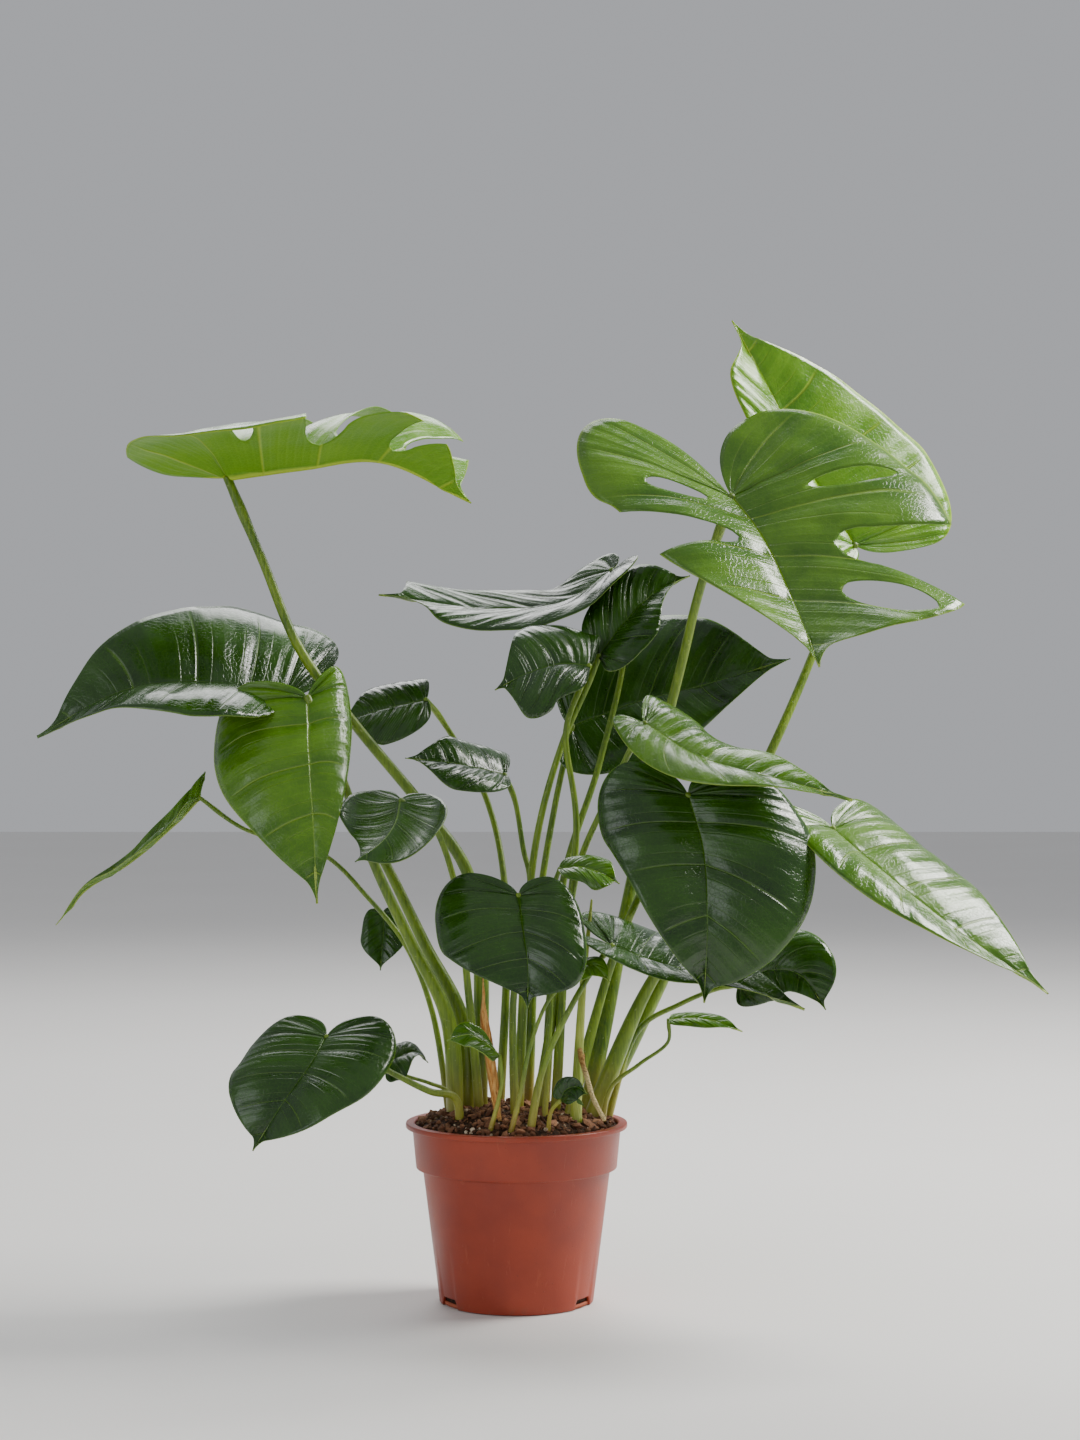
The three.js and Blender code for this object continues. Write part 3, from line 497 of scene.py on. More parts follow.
def own(measure, side):
    """A measure of the outline: one number, or one for each side."""
    return measure[side == "right"] if isinstance(measure, list) else measure


def outline(leaf, side, u):
    """Flat edge of one half: the rear lobe at u = 0, past the widest place, to the drip tip at u = 1."""
    wide, lobe, gap, full = (own(leaf[key], side) for key in ("wide", "lobe", "gap", "full"))
    sx, sy = SHOULDER
    rear_bend = (gap + REAR_FULL * (1 - gap), -lobe)
    flank = (1, wide - FLANK_FULL * (wide + lobe))
    rear = bezier((gap, -lobe), rear_bend, flank, (1, wide), u / U_WIDEST)
    t = (u - U_WIDEST) / (U_SHOULDER - U_WIDEST)
    shoulder_bend = (sx + SHOULDER_REACH * full, sy - SHOULDER_RUN)
    front = bezier((1, wide), (1, wide + full * (sy - wide)), shoulder_bend, SHOULDER, t)
    t = (u - U_SHOULDER) / (1 - U_SHOULDER)
    tip_bend = (sx * TIP_BOW[0], sy + TIP_BOW[1])
    tip = bezier(SHOULDER, tip_bend, (TIP_POINT[0], sy + TIP_POINT[1]), (0, 1), t)
    u = u[..., None]
    return np.where(u <= U_WIDEST, rear, np.where(u <= U_SHOULDER, front, tip))


def flat_place(leaf, side, u, v):
    """A flat half: u picks a side vein, a quadratic curve from the rib bowed forward, and v runs along it."""
    edge = outline(leaf, side, u)
    edge[..., 0] *= 1 - leaf.get("ragged", 0) * (0.5 + 0.5 * np.sin(u * 63) * np.sin(u * 29 + 1))
    start = np.zeros_like(edge)
    start[..., 1] = (np.maximum(u - FAN_SHARE, 0) / (1 - FAN_SHARE)) ** VEIN_SPREAD
    sinus = np.clip(1 - u / SINUS_SHARE, 0, 1)[..., None] ** 2
    bend = start + (edge - start) * np.array(VEIN_BOW)
    rear_bow = np.array([SINUS_BOW[0], -SINUS_BOW[1] * own(leaf["lobe"], side)])
    bend = bend * (1 - sinus) + rear_bow * sinus
    v = v[..., None]
    return start * (1 - v) ** 2 + 2 * bend * v * (1 - v) + edge * v**2


def slit_half(slit, v):
    """Half the width of a slit at v: round ends, and an open slit widens to the edge."""
    t = np.clip((v - slit["from"]) / (slit["to"] - slit["from"]), 0, 1)
    if slit["to"] < 1:
        return slit["width"] * 0.5 * np.sqrt(np.maximum(1 - (2 * t - 1) ** 2, 0))
    round_end = np.sqrt(np.maximum(1 - (1 - np.minimum(t / SLIT_ROUND, 1)) ** 2, 0))
    return slit["width"] * 0.5 * (round_end + SLIT_FLARE * np.maximum(t - SLIT_ROUND, 0))


def bent_place(leaf, frame, side, u, v, seed):
    """Bends the flat place onto the rib and side vectors: arched, curled, rippled, with sunken side veins.

    Also gives the keel's height below the blade, a half ellipse tapering to the tip, and the rib's distance.
    """
    x, y = np.moveaxis(flat_place(leaf, side, u, v), -1, 0)
    place, across, normal = frame.at(side, y)
    width = np.linalg.norm(across, axis=-1)
    rise = width * (leaf["arch"] * 4 * x * (1 - x) - leaf["curl"] * 5 * np.maximum(x - CURL_START, 0) ** 2)
    flat = place + across * x[..., None]
    wave = leaf.get("wave", 0.012) * frame.length * step(0.3, 1, v) * ripple(flat, 34, seed)
    vein = np.exp(-(((u * VEINS) % 1 - 0.5) / 0.16) ** 2) * step(0, 0.06, v) * (1 - step(0.75, 1, v))
    quilt = frame.relief * (QUILT * ripple(flat, 9, seed + 5) * step(0, 0.2, v) - VEIN_DEPTH * vein)
    groove = RIB_GROOVE * np.exp(-((x * width / 1.5) ** 2))
    place = flat + normal * (rise + wave + quilt - groove)[..., None]
    from_rib = x * width
    thick = leaf.get("radii", [0.6])[0] * (1 - 0.85 * np.clip(y, 0, 1) ** 0.6)
    keel = thick * step(-0.02, 0.01, y)
    ridge = keel * np.sqrt(np.maximum(1 - (from_rib / np.maximum(keel, 0.01)) ** 2, 0)) + 0.3 * vein
    return place, np.stack([ridge, from_rib / (0.4 + 0.6 * thick)], -1)


def blade_grid(leaf, seed):
    """Corner points, quads, uv, and keel height with the way to the rib, in strips between the slits."""
    frame = BladeFrame(leaf)
    slits = leaf.get("slits", [])
    marks = sorted({0, 1, *(s["at"] for s in slits)})
    points, quads, uv, shapes, total = [], [], [], [], 0
    for side in ("left", "right"):
        own = [s for s in slits if s["side"] == side]
        ends = [e for s in own for e in (s["from"], s["to"])]
        fine = [e for s in own for e in np.linspace(s["from"], s["to"], 13)]
        keel = leaf.get("radii", [0.6])[0] / np.linalg.norm(frame.sides[side][0])
        beside_keel = keel * np.array([0.4, 0.75, 1, 1.4])
        rows = np.r_[np.linspace(0, 1, BLADE_ROWS + 1) ** 1.2, ends, fine, beside_keel]
        v_row = np.unique(np.round(rows, 4))
        for low, high in zip(marks[:-1], marks[1:]):
            count = max(2, round((high - low) * BLADE_COLUMNS))
            lo = low + sum((slit_half(s, v_row) for s in own if s["at"] == low), np.zeros_like(v_row))
            hi = high - sum((slit_half(s, v_row) for s in own if s["at"] == high), np.zeros_like(v_row))
            t = np.linspace(0, 1, count + 1)[:, None]
            u = lo + (hi - lo) * t
            v = np.broadcast_to(v_row, u.shape)
            place, shape = bent_place(leaf, frame, side, u, v, seed)
            faces = grid_faces(count + 1, len(v_row)) + total
            quads.append(faces if side == "right" else faces[:, ::-1])
            points.append(place.reshape(-1, 3))
            uv.append(np.stack([u, v], -1).reshape(-1, 2))
            shapes.append(shape.reshape(-1, 2))
            total += u.size
    return [np.concatenate(block) for block in (points, quads, uv, shapes)]


def thickened(name, leaf, seed, thickness, materials):
    """A closed blade: the middle surface moved out along its normals both ways, with a wall round the edge.

    The middle surface is turned so that its upper face looks up; the keel hangs from the lower one.
    """
    corner_points, raw, corner_uv, corner_shape = blade_grid(leaf, seed)
    corner = corner_points[raw]
    if np.cross(corner[:, 2] - corner[:, 0], corner[:, 3] - corner[:, 1])[:, 2].sum() < 0:
        raw = raw[:, ::-1]
    _, first, where = np.unique(np.round(corner_points * 500), axis=0, return_index=True, return_inverse=True)
    where = where.ravel()
    points, uv, shape = corner_points[first], corner_uv[first], corner_shape[first]
    whole, one, triangles, corners = split_faces(where[raw])
    quads = where[raw][whole]
    top_uv = [corner_uv[raw[whole]], corner_uv[np.take_along_axis(raw[one], corners, 1)]]
    normals = np.zeros_like(points)
    for a, b, c in ((0, 1, 2), (0, 2, 3)):
        face = np.cross(points[quads[:, b]] - points[quads[:, a]], points[quads[:, c]] - points[quads[:, a]])
        for k in (a, b, c):
            np.add.at(normals, quads[:, k], face)
    first, second, third = (points[triangles[:, k]] for k in range(3))
    face = np.cross(second - first, third - first)
    for k in range(3):
        np.add.at(normals, triangles[:, k], face)
    normals = unit(normals)
    count = len(points)
    sides = [(quads[:, k], quads[:, (k + 1) % 4]) for k in range(4)]
    sides += [(triangles[:, k], triangles[:, (k + 1) % 3]) for k in range(3)]
    start = np.concatenate([a for a, _ in sides])
    end = np.concatenate([b for _, b in sides])
    free = ~np.isin(end * count + start, start * count + end)
    start, end = start[free], end[free]
    wall = np.stack([end, start, start + count, end + count], 1)
    upper = points + normals * thickness / 2
    lower = points - normals * (thickness / 2 + shape[:, :1])
    both = np.concatenate([upper, lower])
    faces = [quads, triangles, quads[:, ::-1] + count, triangles[:, ::-1] + count, wall]
    wall_uv = np.stack([uv[end], uv[start], uv[start], uv[end]], 1)
    face_uv = top_uv + [top_uv[0][:, ::-1], top_uv[1][:, ::-1], wall_uv]
    side_of = [np.zeros(len(f)) if k < 2 else np.ones(len(f)) for k, f in enumerate(faces)]
    shades = {"rib": np.tile(shape[:, 1], 2)}
    shades["tone"] = np.full(2 * count, leaf.get("tone", 0.5))
    shades["size"] = np.full(2 * count, BladeFrame(leaf).relief)
    return make_object(name, both, faces, face_uv, materials, side_of, shades)


# ---------------------------------------------------------------- rods, pot, soil
def closed_surface(name, place, uv, materials):
    """A closed object from a grid of places whose first and last rows meet in a point or in each other."""
    rows, columns = place.shape[:2]
    raw = grid_faces(rows, columns, True)
    points, quads = welded(place.reshape(-1, 3), raw)
    flat = np.broadcast_to(uv, (rows, columns, 2)).reshape(-1, 2)
    whole, one, triangles, corners = split_faces(quads)
    corner_uv = [flat[raw[whole]], flat[np.take_along_axis(raw[one], corners, 1)]]
    return make_object(name, points, [quads[whole], triangles], corner_uv, materials)


def rod(name, route, radius, materials, sides=16, steps=70):
    """A round rod carried along a path; radius is a function of angle and of the share of the length."""
    path = smooth_path(route, steps)
    along = unit(np.gradient(path, axis=0))
    start = unit(np.cross(np.cross(along[0], [1, 0.3, 0]), along[0]))
    side = carried(start, along, 0)
    other = np.cross(along, side)
    length = np.linalg.norm(np.diff(path, axis=0), axis=1).sum()
    t = np.linspace(0, 1, steps + 1)[:, None]
    angle = np.linspace(0, 2 * np.pi, sides, endpoint=False)
    r = np.broadcast_to(radius(angle, t), (steps + 1, sides))
    ring = side[:, None] * (r * np.cos(angle))[..., None] + other[:, None] * (r * np.sin(angle))[..., None]
    place = path[:, None] + ring
    caps = []
    for end, way, r_end in ((0, -1, r[0].mean()), (-1, 1, r[-1].mean())):
        for share in (0.5, 0.85, 1):
            shrink = math.sqrt(1 - share**2)
            caps.append(path[end] + along[end] * way * r_end * share * 0.8 + ring[end] * shrink)
    place = np.concatenate([caps[2::-1], place, caps[3:]])
    t = np.r_[0, 0, 0, t.ravel(), 1, 1, 1]
    uv = np.stack(np.broadcast_arrays(angle / (2 * np.pi), t[:, None] * length * MM), -1)
    return closed_surface(name, place, uv, materials)


def leaf_stalk(leaf, materials):
    """A stalk up to its leaf: thick and winged beside a groove low down, with a knee under the blade."""
    tip, foot = leaf["radii"]

    def radius(angle, t):
        plain = tip + (foot - tip) * (1 - t) ** 1.6
        sheath = 0.1 * foot / 4 * np.exp(-(((t - 0.2) / 0.13) ** 2))
        knee = 0.22 * np.exp(-(((t - 0.95) / 0.025) ** 2))
        low = 1 - step(0.3, 0.55, t)
        groove = 0.22 * low * np.exp(-(((angle - 1.6) / 0.3) ** 2))
        wings = 0.2 * low * sum(np.exp(-(((angle - at) / 0.22) ** 2)) for at in (0.95, 2.25))
        return plain * (1 + knee + sheath - groove + wings)

    route = [plant(p) for p in [leaf["foot"], *leaf["stalk"], leaf["rib"][0]]]
    return rod(leaf["name"] + "_stem", route, radius, materials, sides=24)


def rolled_leaf(materials):
    """The unopened leaf: a thin rod whose skin overlaps itself in a slow spiral, widest above its foot."""
    tip, foot = NEW_LEAF_SPEAR["radii"]

    def radius(angle, t):
        plain = tip + (foot - tip) * (1 - t) ** 0.8
        turn = (angle / (2 * np.pi) + 0.7 * t) % 1
        return plain * (0.9 + 0.2 * turn)

    return rod("rolled_leaf", [plant(p) for p in NEW_LEAF_SPEAR["route"]], radius, materials, sides=32)


def hanging_root(materials):
    """A knobbly root with a blunt tip that hangs from the crown to the rim."""
    tip, foot = AERIAL_ROOT["radii"]

    def radius(angle, t):
        knobs = 0.08 * np.sin(t * 47 + 2 * np.sin(angle)) + 0.07 * np.sin(t * 23 + angle)
        return (tip + (foot - tip) * (1 - t)) * (1 + knobs)

    return rod("root_hanging", [plant(p) for p in AERIAL_ROOT["route"]], radius, materials)


BODY_TOP = RIM_RADIUS - LIP_OVERHANG - COLLAR_TAPER - COLLAR_STEP
COLLAR_TOP = RIM_RADIUS - LIP_OVERHANG
COLLAR_LOW = COLLAR_TOP - COLLAR_TAPER
COLLAR_BASE = POT_HEIGHT - COLLAR_HEIGHT
POT_COLUMNS = 216
FLOOR_RADIUS = BASE_RADIUS - POT_WALL + 0.8
FLOOR_LIFT = 0.6
HEAP = (-40, -36)
HEAP_HEIGHT = 4
HEAP_SPREAD = 700**0.5


def rounded(profile, radii, steps=6):
    """A closed profile with each corner rounded by a quadratic curve that starts its own reach away."""
    p = np.array(profile, float)
    out = []
    for k, reach in enumerate(radii):
        before, here, after = p[k - 1], p[k], p[(k + 1) % len(p)]
        a = here + unit(before - here) * min(reach, 0.45 * np.linalg.norm(before - here))
        c = here + unit(after - here) * min(reach, 0.45 * np.linalg.norm(after - here))
        t = np.linspace(0, 1, steps + 1)[:, None]
        out.append(a * (1 - t) ** 2 + 2 * here * t * (1 - t) + c * t * t)
    ring = np.concatenate(out)
    ring = np.vstack([ring, ring[:1]])
    arc = np.r_[0, np.cumsum(np.linalg.norm(np.diff(ring, axis=0), axis=1))]
    want = np.unique(np.round(np.r_[arc, np.arange(0, arc[-1], 4)], 3))
    return np.stack([np.interp(want, arc, ring[:, k]) for k in range(2)], 1)


def pot_wall(materials):
    """The pot's wall turned round its axis; below three foot notches the wall's lower edge is lifted."""
    profile = [
        [BASE_RADIUS, 0],
        [BODY_TOP, COLLAR_BASE],
        [COLLAR_LOW, COLLAR_BASE],
        [COLLAR_TOP, POT_HEIGHT - LIP_HEIGHT],
        [RIM_RADIUS, POT_HEIGHT - LIP_HEIGHT],
        [RIM_RADIUS, POT_HEIGHT],
        [COLLAR_TOP - POT_WALL, POT_HEIGHT],
        [COLLAR_LOW - POT_WALL, COLLAR_BASE + POT_WALL],
        [BODY_TOP - POT_WALL, COLLAR_BASE + POT_WALL / 2],
        [BASE_RADIUS - POT_WALL, 0],
    ]
    ring = rounded(profile, [0.7, 1.5, 1.2, 1.2, 1, 1.3, 1.6, 1.5, 1.5, 0.7])
    turn = np.linspace(0, 2 * np.pi, POT_COLUMNS, endpoint=False)
    off = (turn - np.pi / 2 + np.pi / 3) % (2 * np.pi / 3) - np.pi / 3
    notch = 1 - step(NOTCH_WIDTH / 2 - 1.5, NOTCH_WIDTH / 2 + 0.5, np.abs(off) * BASE_RADIUS)
    r, z = ring[:, :1], ring[:, 1:]
    low = NOTCH_HEIGHT * notch
    z = np.where(z < COLLAR_BASE / 2, low + z * (COLLAR_BASE / 2 - low) / (COLLAR_BASE / 2), z)
    r = r + np.zeros_like(z)
    place = np.stack([r * np.cos(turn), r * np.sin(turn), z], -1)
    uv = np.stack(np.broadcast_arrays(turn / (2 * np.pi), ring[:, 1:] / POT_HEIGHT), -1)
    return closed_surface("pot_shell", place, uv, materials)


def pot_floor(materials):
    """The floor plate: six wedges, each a fan of straight lines from its drain hole to the wedge's edge."""
    spread = np.pi / DRAIN_COUNT
    turn = np.linspace(0, 2 * np.pi, 48, endpoint=False)
    way = np.stack([np.cos(turn), np.sin(turn)], -1)
    hole = np.array([DRAIN_CIRCLE, 0])
    reach = []
    for sign in (1, -1):
        normal = np.array([-math.sin(spread), sign * math.cos(spread)])
        facing = way @ normal
        reach.append(np.where(facing > 1e-6, -(hole @ normal) / np.maximum(facing, 1e-6), 1e9))
    inward = way @ hole
    reach.append(-inward + np.sqrt(inward**2 + FLOOR_RADIUS**2 - DRAIN_CIRCLE**2))
    reach = np.min(reach, axis=0)
    rings = [(0.0, 1), (0.12, 1), (0.5, 1), (1, 1), (1, 0), (0.5, 0), (0.12, 0), (0.0, 0), (0.0, 1)]
    blocks, quads = [], []
    for k in range(DRAIN_COUNT):
        angle = 2 * spread * k
        across = np.array([[math.cos(angle), math.sin(angle)], [-math.sin(angle), math.cos(angle)]])
        rows = []
        for share, high in rings:
            flat = (hole + way * (DRAIN_RADIUS + share * (reach - DRAIN_RADIUS))[:, None]) @ across
            z = np.full(len(turn), POT_FLOOR if high else FLOOR_LIFT)
            rows.append(np.column_stack([flat, z]))
        blocks.append(np.concatenate(rows))
        quads.append(grid_faces(len(rings), len(turn), True) + k * len(rings) * len(turn))
    points, quads = np.concatenate(blocks), np.concatenate(quads)
    ring = np.tile(np.repeat(np.arange(len(rings) - 1), len(turn)), DRAIN_COUNT)
    outer = np.linalg.norm(points[quads][..., :2], axis=-1).min(1) > FLOOR_RADIUS - 0.01
    keep = (ring != 3) | outer
    points, quads = welded(points, quads[keep][:, ::-1])
    whole, one, triangles, corners = split_faces(quads)
    flat = points[:, :2] / RIM_RADIUS
    uv = [flat[quads[whole]], flat[triangles]]
    return make_object("pot_floor", points, [quads[whole], triangles], uv, materials)


def soil_height(x, y):
    """The soil's top: a mound that falls with the fourth power of the distance, a heap, and lumps."""
    edge = COLLAR_TOP - POT_WALL - SOIL_GAP
    q = np.minimum(np.hypot(x, y) / edge, 1)
    p = np.stack([x, y, np.zeros_like(x)], -1)
    lumps = 1.3 * ripple(p, 7, 3) + 0.8 * ripple(p, 3.1, 9) + 0.4 * ripple(p, 1.3, 14)
    lumps = lumps + HEAP_HEIGHT * np.exp(-((x - HEAP[0]) ** 2 + (y - HEAP[1]) ** 2) / HEAP_SPREAD**2)
    return POT_HEIGHT - SOIL_DROP + SOIL_MOUND * (1 - q**4) + lumps * (1 - 0.6 * q**6)


def soil_body(materials):
    """The soil as one closed lump: the lumpy mound on top, the pot's inner wall as its side, flat below."""
    turn = np.linspace(0, 2 * np.pi, 180, endpoint=False)
    edge = COLLAR_TOP - POT_WALL - SOIL_GAP
    q = np.linspace(0, 1, 61)[:, None]
    x, y = edge * q * np.cos(turn), edge * q * np.sin(turn)
    top = np.stack([x, y, soil_height(x, y)], -1)
    body = BODY_TOP - POT_WALL - SOIL_GAP
    base = BASE_RADIUS - POT_WALL - SOIL_GAP
    floor_z = POT_FLOOR + 0.3
    low = [
        [COLLAR_LOW - POT_WALL - SOIL_GAP, COLLAR_BASE + POT_WALL + 0.5],
        [body, COLLAR_BASE],
        [base, floor_z],
        [base * 0.5, floor_z],
        [0, floor_z],
    ]
    side = [np.stack([r * np.cos(turn), r * np.sin(turn), np.full_like(turn, z)], -1) for r, z in low]
    place = np.concatenate([top, side])
    return closed_surface("soil_mound", place[::-1], place[::-1][..., :2] / RIM_RADIUS, materials)


def crumbs(name, count, small, large, flat, materials):
    """Many rough stones of soil: icosahedra with uneven corners, squashed, turned and strewn on the mound."""
    g = (1 + 5**0.5) / 2
    seed = np.array([[0, 1, g], [0, 1, -g], [0, -1, g], [0, -1, -g]], float)
    corner = unit(np.concatenate([seed, seed[:, [2, 0, 1]], seed[:, [1, 2, 0]]]))
    near = np.linalg.norm(corner[:, None] - corner, axis=-1) < 1.2
    i, j, k = np.meshgrid(*[np.arange(12)] * 3, indexing="ij")
    tri = np.stack([i, j, k], -1)[(i < j) & (j < k) & near[i, j] & near[j, k] & near[i, k]]
    first, second, third = (corner[tri[:, n]] for n in range(3))
    inside = (np.cross(second - first, third - first) * first).sum(1) < 0
    tri[inside] = tri[inside][:, ::-1]
    size = small + (large - small) * rng.random(count) ** 2.5
    shape = corner * (1 + 0.35 * (rng.random((count, 12, 1)) - 0.5))
    squash = [np.ones(count), 0.6 + 0.4 * rng.random(count), flat * (0.6 + 0.6 * rng.random(count))]
    shape = shape * np.stack(squash, -1)[:, None]
    tilt = rng.normal(0, 0.35, (count, 2))
    spin = rng.random(count) * 2 * np.pi
    c, s = np.cos(spin)[:, None], np.sin(spin)[:, None]
    x, y, z = np.moveaxis(shape, -1, 0)
    z = z + x * tilt[:, :1] + y * tilt[:, 1:]
    shape = np.stack([x * c - y * s, x * s + y * c, z], -1) * size[:, None, None]
    radius = (COLLAR_TOP - POT_WALL - 2.5) * np.sqrt(rng.random(count))
    turn = rng.random(count) * 2 * np.pi
    px, py = radius * np.cos(turn), radius * np.sin(turn)
    place = np.stack([px, py, soil_height(px, py) + size * flat * 0.35], -1)
    points = (shape + place[:, None]).reshape(-1, 3)
    faces = (tri[None] + 12 * np.arange(count)[:, None, None]).reshape(-1, 3)
    tone = np.repeat(rng.random(count), 12)
    uv = [points[faces][..., :2] / RIM_RADIUS]
    bits = make_object(name, points, [faces], uv, materials, shades={"tone": tone})
    bits.data.polygons.foreach_set("use_smooth", np.zeros(len(faces), bool))
    return bits


# ---------------------------------------------------------------- materials
class Shade:
    """A shader socket in an expression: + - * and the named maths each add their node."""

    def __init__(self, tree, socket=None):
        self.tree = tree
        self.socket = socket

    def node(self, kind, settings=None, inputs=None, out=0):
        """Any node: its settings first, then the values or links of its sockets; gives one output."""
        made = self.tree.nodes.new(kind)
        for key, value in (settings or {}).items():
            setattr(made, key, value)
        for key, value in (inputs or {}).items():
            if isinstance(value, Shade):
                self.tree.links.new(value.socket, made.inputs[key])
            else:
                made.inputs[key].default_value = value
        return Shade(self.tree, made.outputs[out])

    def maths(self, operation, *others):
        """A maths node whose first value is this one."""
        return self.node("ShaderNodeMath", {"operation": operation}, dict(enumerate([self, *others])))

    def __add__(self, other):
        return self.maths("ADD", other)

    def __sub__(self, other):
        return self.maths("SUBTRACT", other)

    def __rsub__(self, other):
        return self * -1.0 + other

    def __mul__(self, other):
        return self.maths("MULTIPLY", other)

    __radd__ = __add__
    __rmul__ = __mul__

    def ramp(self, lo, hi, to_lo=0.0, to_hi=1.0):
        """Smoothly from to_lo at lo to to_hi at hi."""
        ends = {"Value": self, "From Min": lo, "From Max": hi, "To Min": to_lo, "To Max": to_hi}
        return self.node("ShaderNodeMapRange", {"interpolation_type": "SMOOTHSTEP"}, ends)

    def between(self, middle, half):
        """1 where the value is at middle, smoothly down to 0 at half away from it."""
        return (self - middle).maths("ABSOLUTE").ramp(0, half, 1, 0)

    def colour(self, low, high):
        """The colour low where this value is 0 and high where it is 1."""
        return self.node("ShaderNodeMix", {"data_type": "RGBA"}, {0: self, 6: low, 7: high}, 2)

    def place(self):
        return self.node("ShaderNodeTexCoord", out="Object")

    def scaled(self, factors):
        """A place vector times three factors."""
        return self.node("ShaderNodeVectorMath", {"operation": "MULTIPLY"}, {0: self, 1: factors})

    def noise(self, scale, detail=3.0, rough=0.5, distort=0.0):
        inputs = {"Vector": self, "Scale": scale, "Detail": detail, "Roughness": rough, "Distortion": distort}
        return self.node("ShaderNodeTexNoise", None, inputs)

    def cells(self, scale, feature="DISTANCE_TO_EDGE"):
        return self.node("ShaderNodeTexVoronoi", {"feature": feature}, {"Vector": self, "Scale": scale})

    def surface(self):
        """The two numbers of the piece's own surface map."""
        both = self.node("ShaderNodeUVMap", {"uv_map": "surface"})
        return [self.node("ShaderNodeSeparateXYZ", None, {0: both}, out) for out in (0, 1)]

    def value(self, name):
        """A number kept on the piece's points."""
        return self.node("ShaderNodeAttribute", {"attribute_name": name}, out="Fac")


def rgb(red, green, blue):
    """A colour given as it looks on a screen, 0 to 255, as the linear colour that a shader takes."""
    return tuple((c / 255) ** 2.2 for c in (red, green, blue)) + (1.0,)


def finish(name, build):
    """A material whose build function gives base colour, roughness, bump height and bump depth in metres."""
    material = bpy.data.materials.new(name)
    material.use_nodes = True
    tree = material.node_tree
    shader = tree.nodes["Principled BSDF"]
    colour, rough, height, depth, fixed = build(Shade(tree))
    tree.links.new(colour.socket, shader.inputs["Base Color"])
    tree.links.new(rough.socket, shader.inputs["Roughness"])
    bump = colour.node("ShaderNodeBump", None, {"Height": height, "Distance": depth, "Strength": 1.0})
    tree.links.new(bump.socket, shader.inputs["Normal"])
    for key, value in fixed.items():
        shader.inputs[key].default_value = value
    return material


def veins(along, out, count, half, reach):
    """Thin lines along the side veins, count of them on each half, fading where out passes the reach."""
    return (along * count).maths("FRACT").between(0.5, half) * out.ramp(reach - 0.3, reach, 1, 0)


def leaf_face(dark, light, vein, shine):
    """The upper face: mottled green, pale side veins with fine ones between, a pale margin, waxy gloss."""

    def build(s):
        place = s.place()
        along, out = s.surface()
        tone, rib = s.value("tone"), s.value("rib")
        patches = place.noise(20, 4, 0.6)
        grain = place.noise(1100, 2, 0.6)
        net = place.cells(300).ramp(0, 0.1, 1, 0)
        side = veins(along, out, VEINS, 0.032, 1.0)
        between = veins(along, out, VEINS * 2, 0.035, 0.8)
        fine = (along * VEINS * 7).maths("FRACT").between(0.5, 0.3)
        beside = (along * VEINS).maths("FRACT").between(0.5, 0.4)
        middle = rib.ramp(0.3, 0.75, 1, 0)
        mix = tone * 0.55 + patches.ramp(0.3, 0.7, 0, 0.5) - beside * 0.2 + fine * 0.05
        colour = mix.maths("MINIMUM", 1.0).maths("MAXIMUM", 0.0).colour(dark, light)
        colour = (net * 0.05 + side * (tone * 0.3 + 0.2) + between * 0.12).colour(colour, vein)
        colour = (middle * (tone * 0.5 + 0.1)).colour(colour, vein)
        colour = (out.ramp(0.982, 0.996) * 0.55).colour(colour, vein)
        rough = patches.ramp(0.3, 0.75, shine, shine + 0.12) + grain * 0.06 + fine * 0.03
        waves = (along * VEINS * 3 + patches * 0.6).maths("FRACT").between(0.5, 0.5) * out.ramp(0.0, 0.3)
        height = grain * 0.03 - net * 0.04 + fine * 0.05 - side * 0.5 - between * 0.15 + patches + waves * 0.3
        height = height * s.value("size")
        fixed = {"Coat Weight": 0.25, "Coat Roughness": 0.08, "Specular IOR Level": 0.42}
        return colour, rough, height, 0.0016, fixed

    return build


def leaf_back(dark, light, vein):
    """The underside: paler and duller than the upper face, its veins raised and yellowish."""

    def build(s):
        place = s.place()
        along, out = s.surface()
        tone, rib = s.value("tone"), s.value("rib")
        patches = place.noise(24, 4, 0.6)
        grain = place.noise(1000, 3, 0.6)
        net = place.cells(300).ramp(0, 0.1, 1, 0)
        side = veins(along, out, VEINS, 0.04, 1.0)
        fine = (along * VEINS * 7).maths("FRACT").between(0.5, 0.3)
        middle = rib.ramp(0.9, 1.5, 1, 0)
        mix = (tone * 0.7 + patches.ramp(0.3, 0.7) * 0.3 + fine * 0.08).maths("MINIMUM", 1.0)
        colour = mix.colour(dark, light)
        colour = (net * 0.08 + side * 0.5).colour(colour, vein)
        colour = (middle * 0.9).colour(colour, vein)
        colour = (out.ramp(0.982, 0.996) * 0.5).colour(colour, vein)
        rough = patches.ramp(0.3, 0.75, 0.42, 0.56) + grain * 0.05
        height = grain * 0.2 + net * 0.2 + side * 1.2 + fine * 0.4
        return colour, rough, height, 0.0004, {"Specular IOR Level": 0.45}

    return build


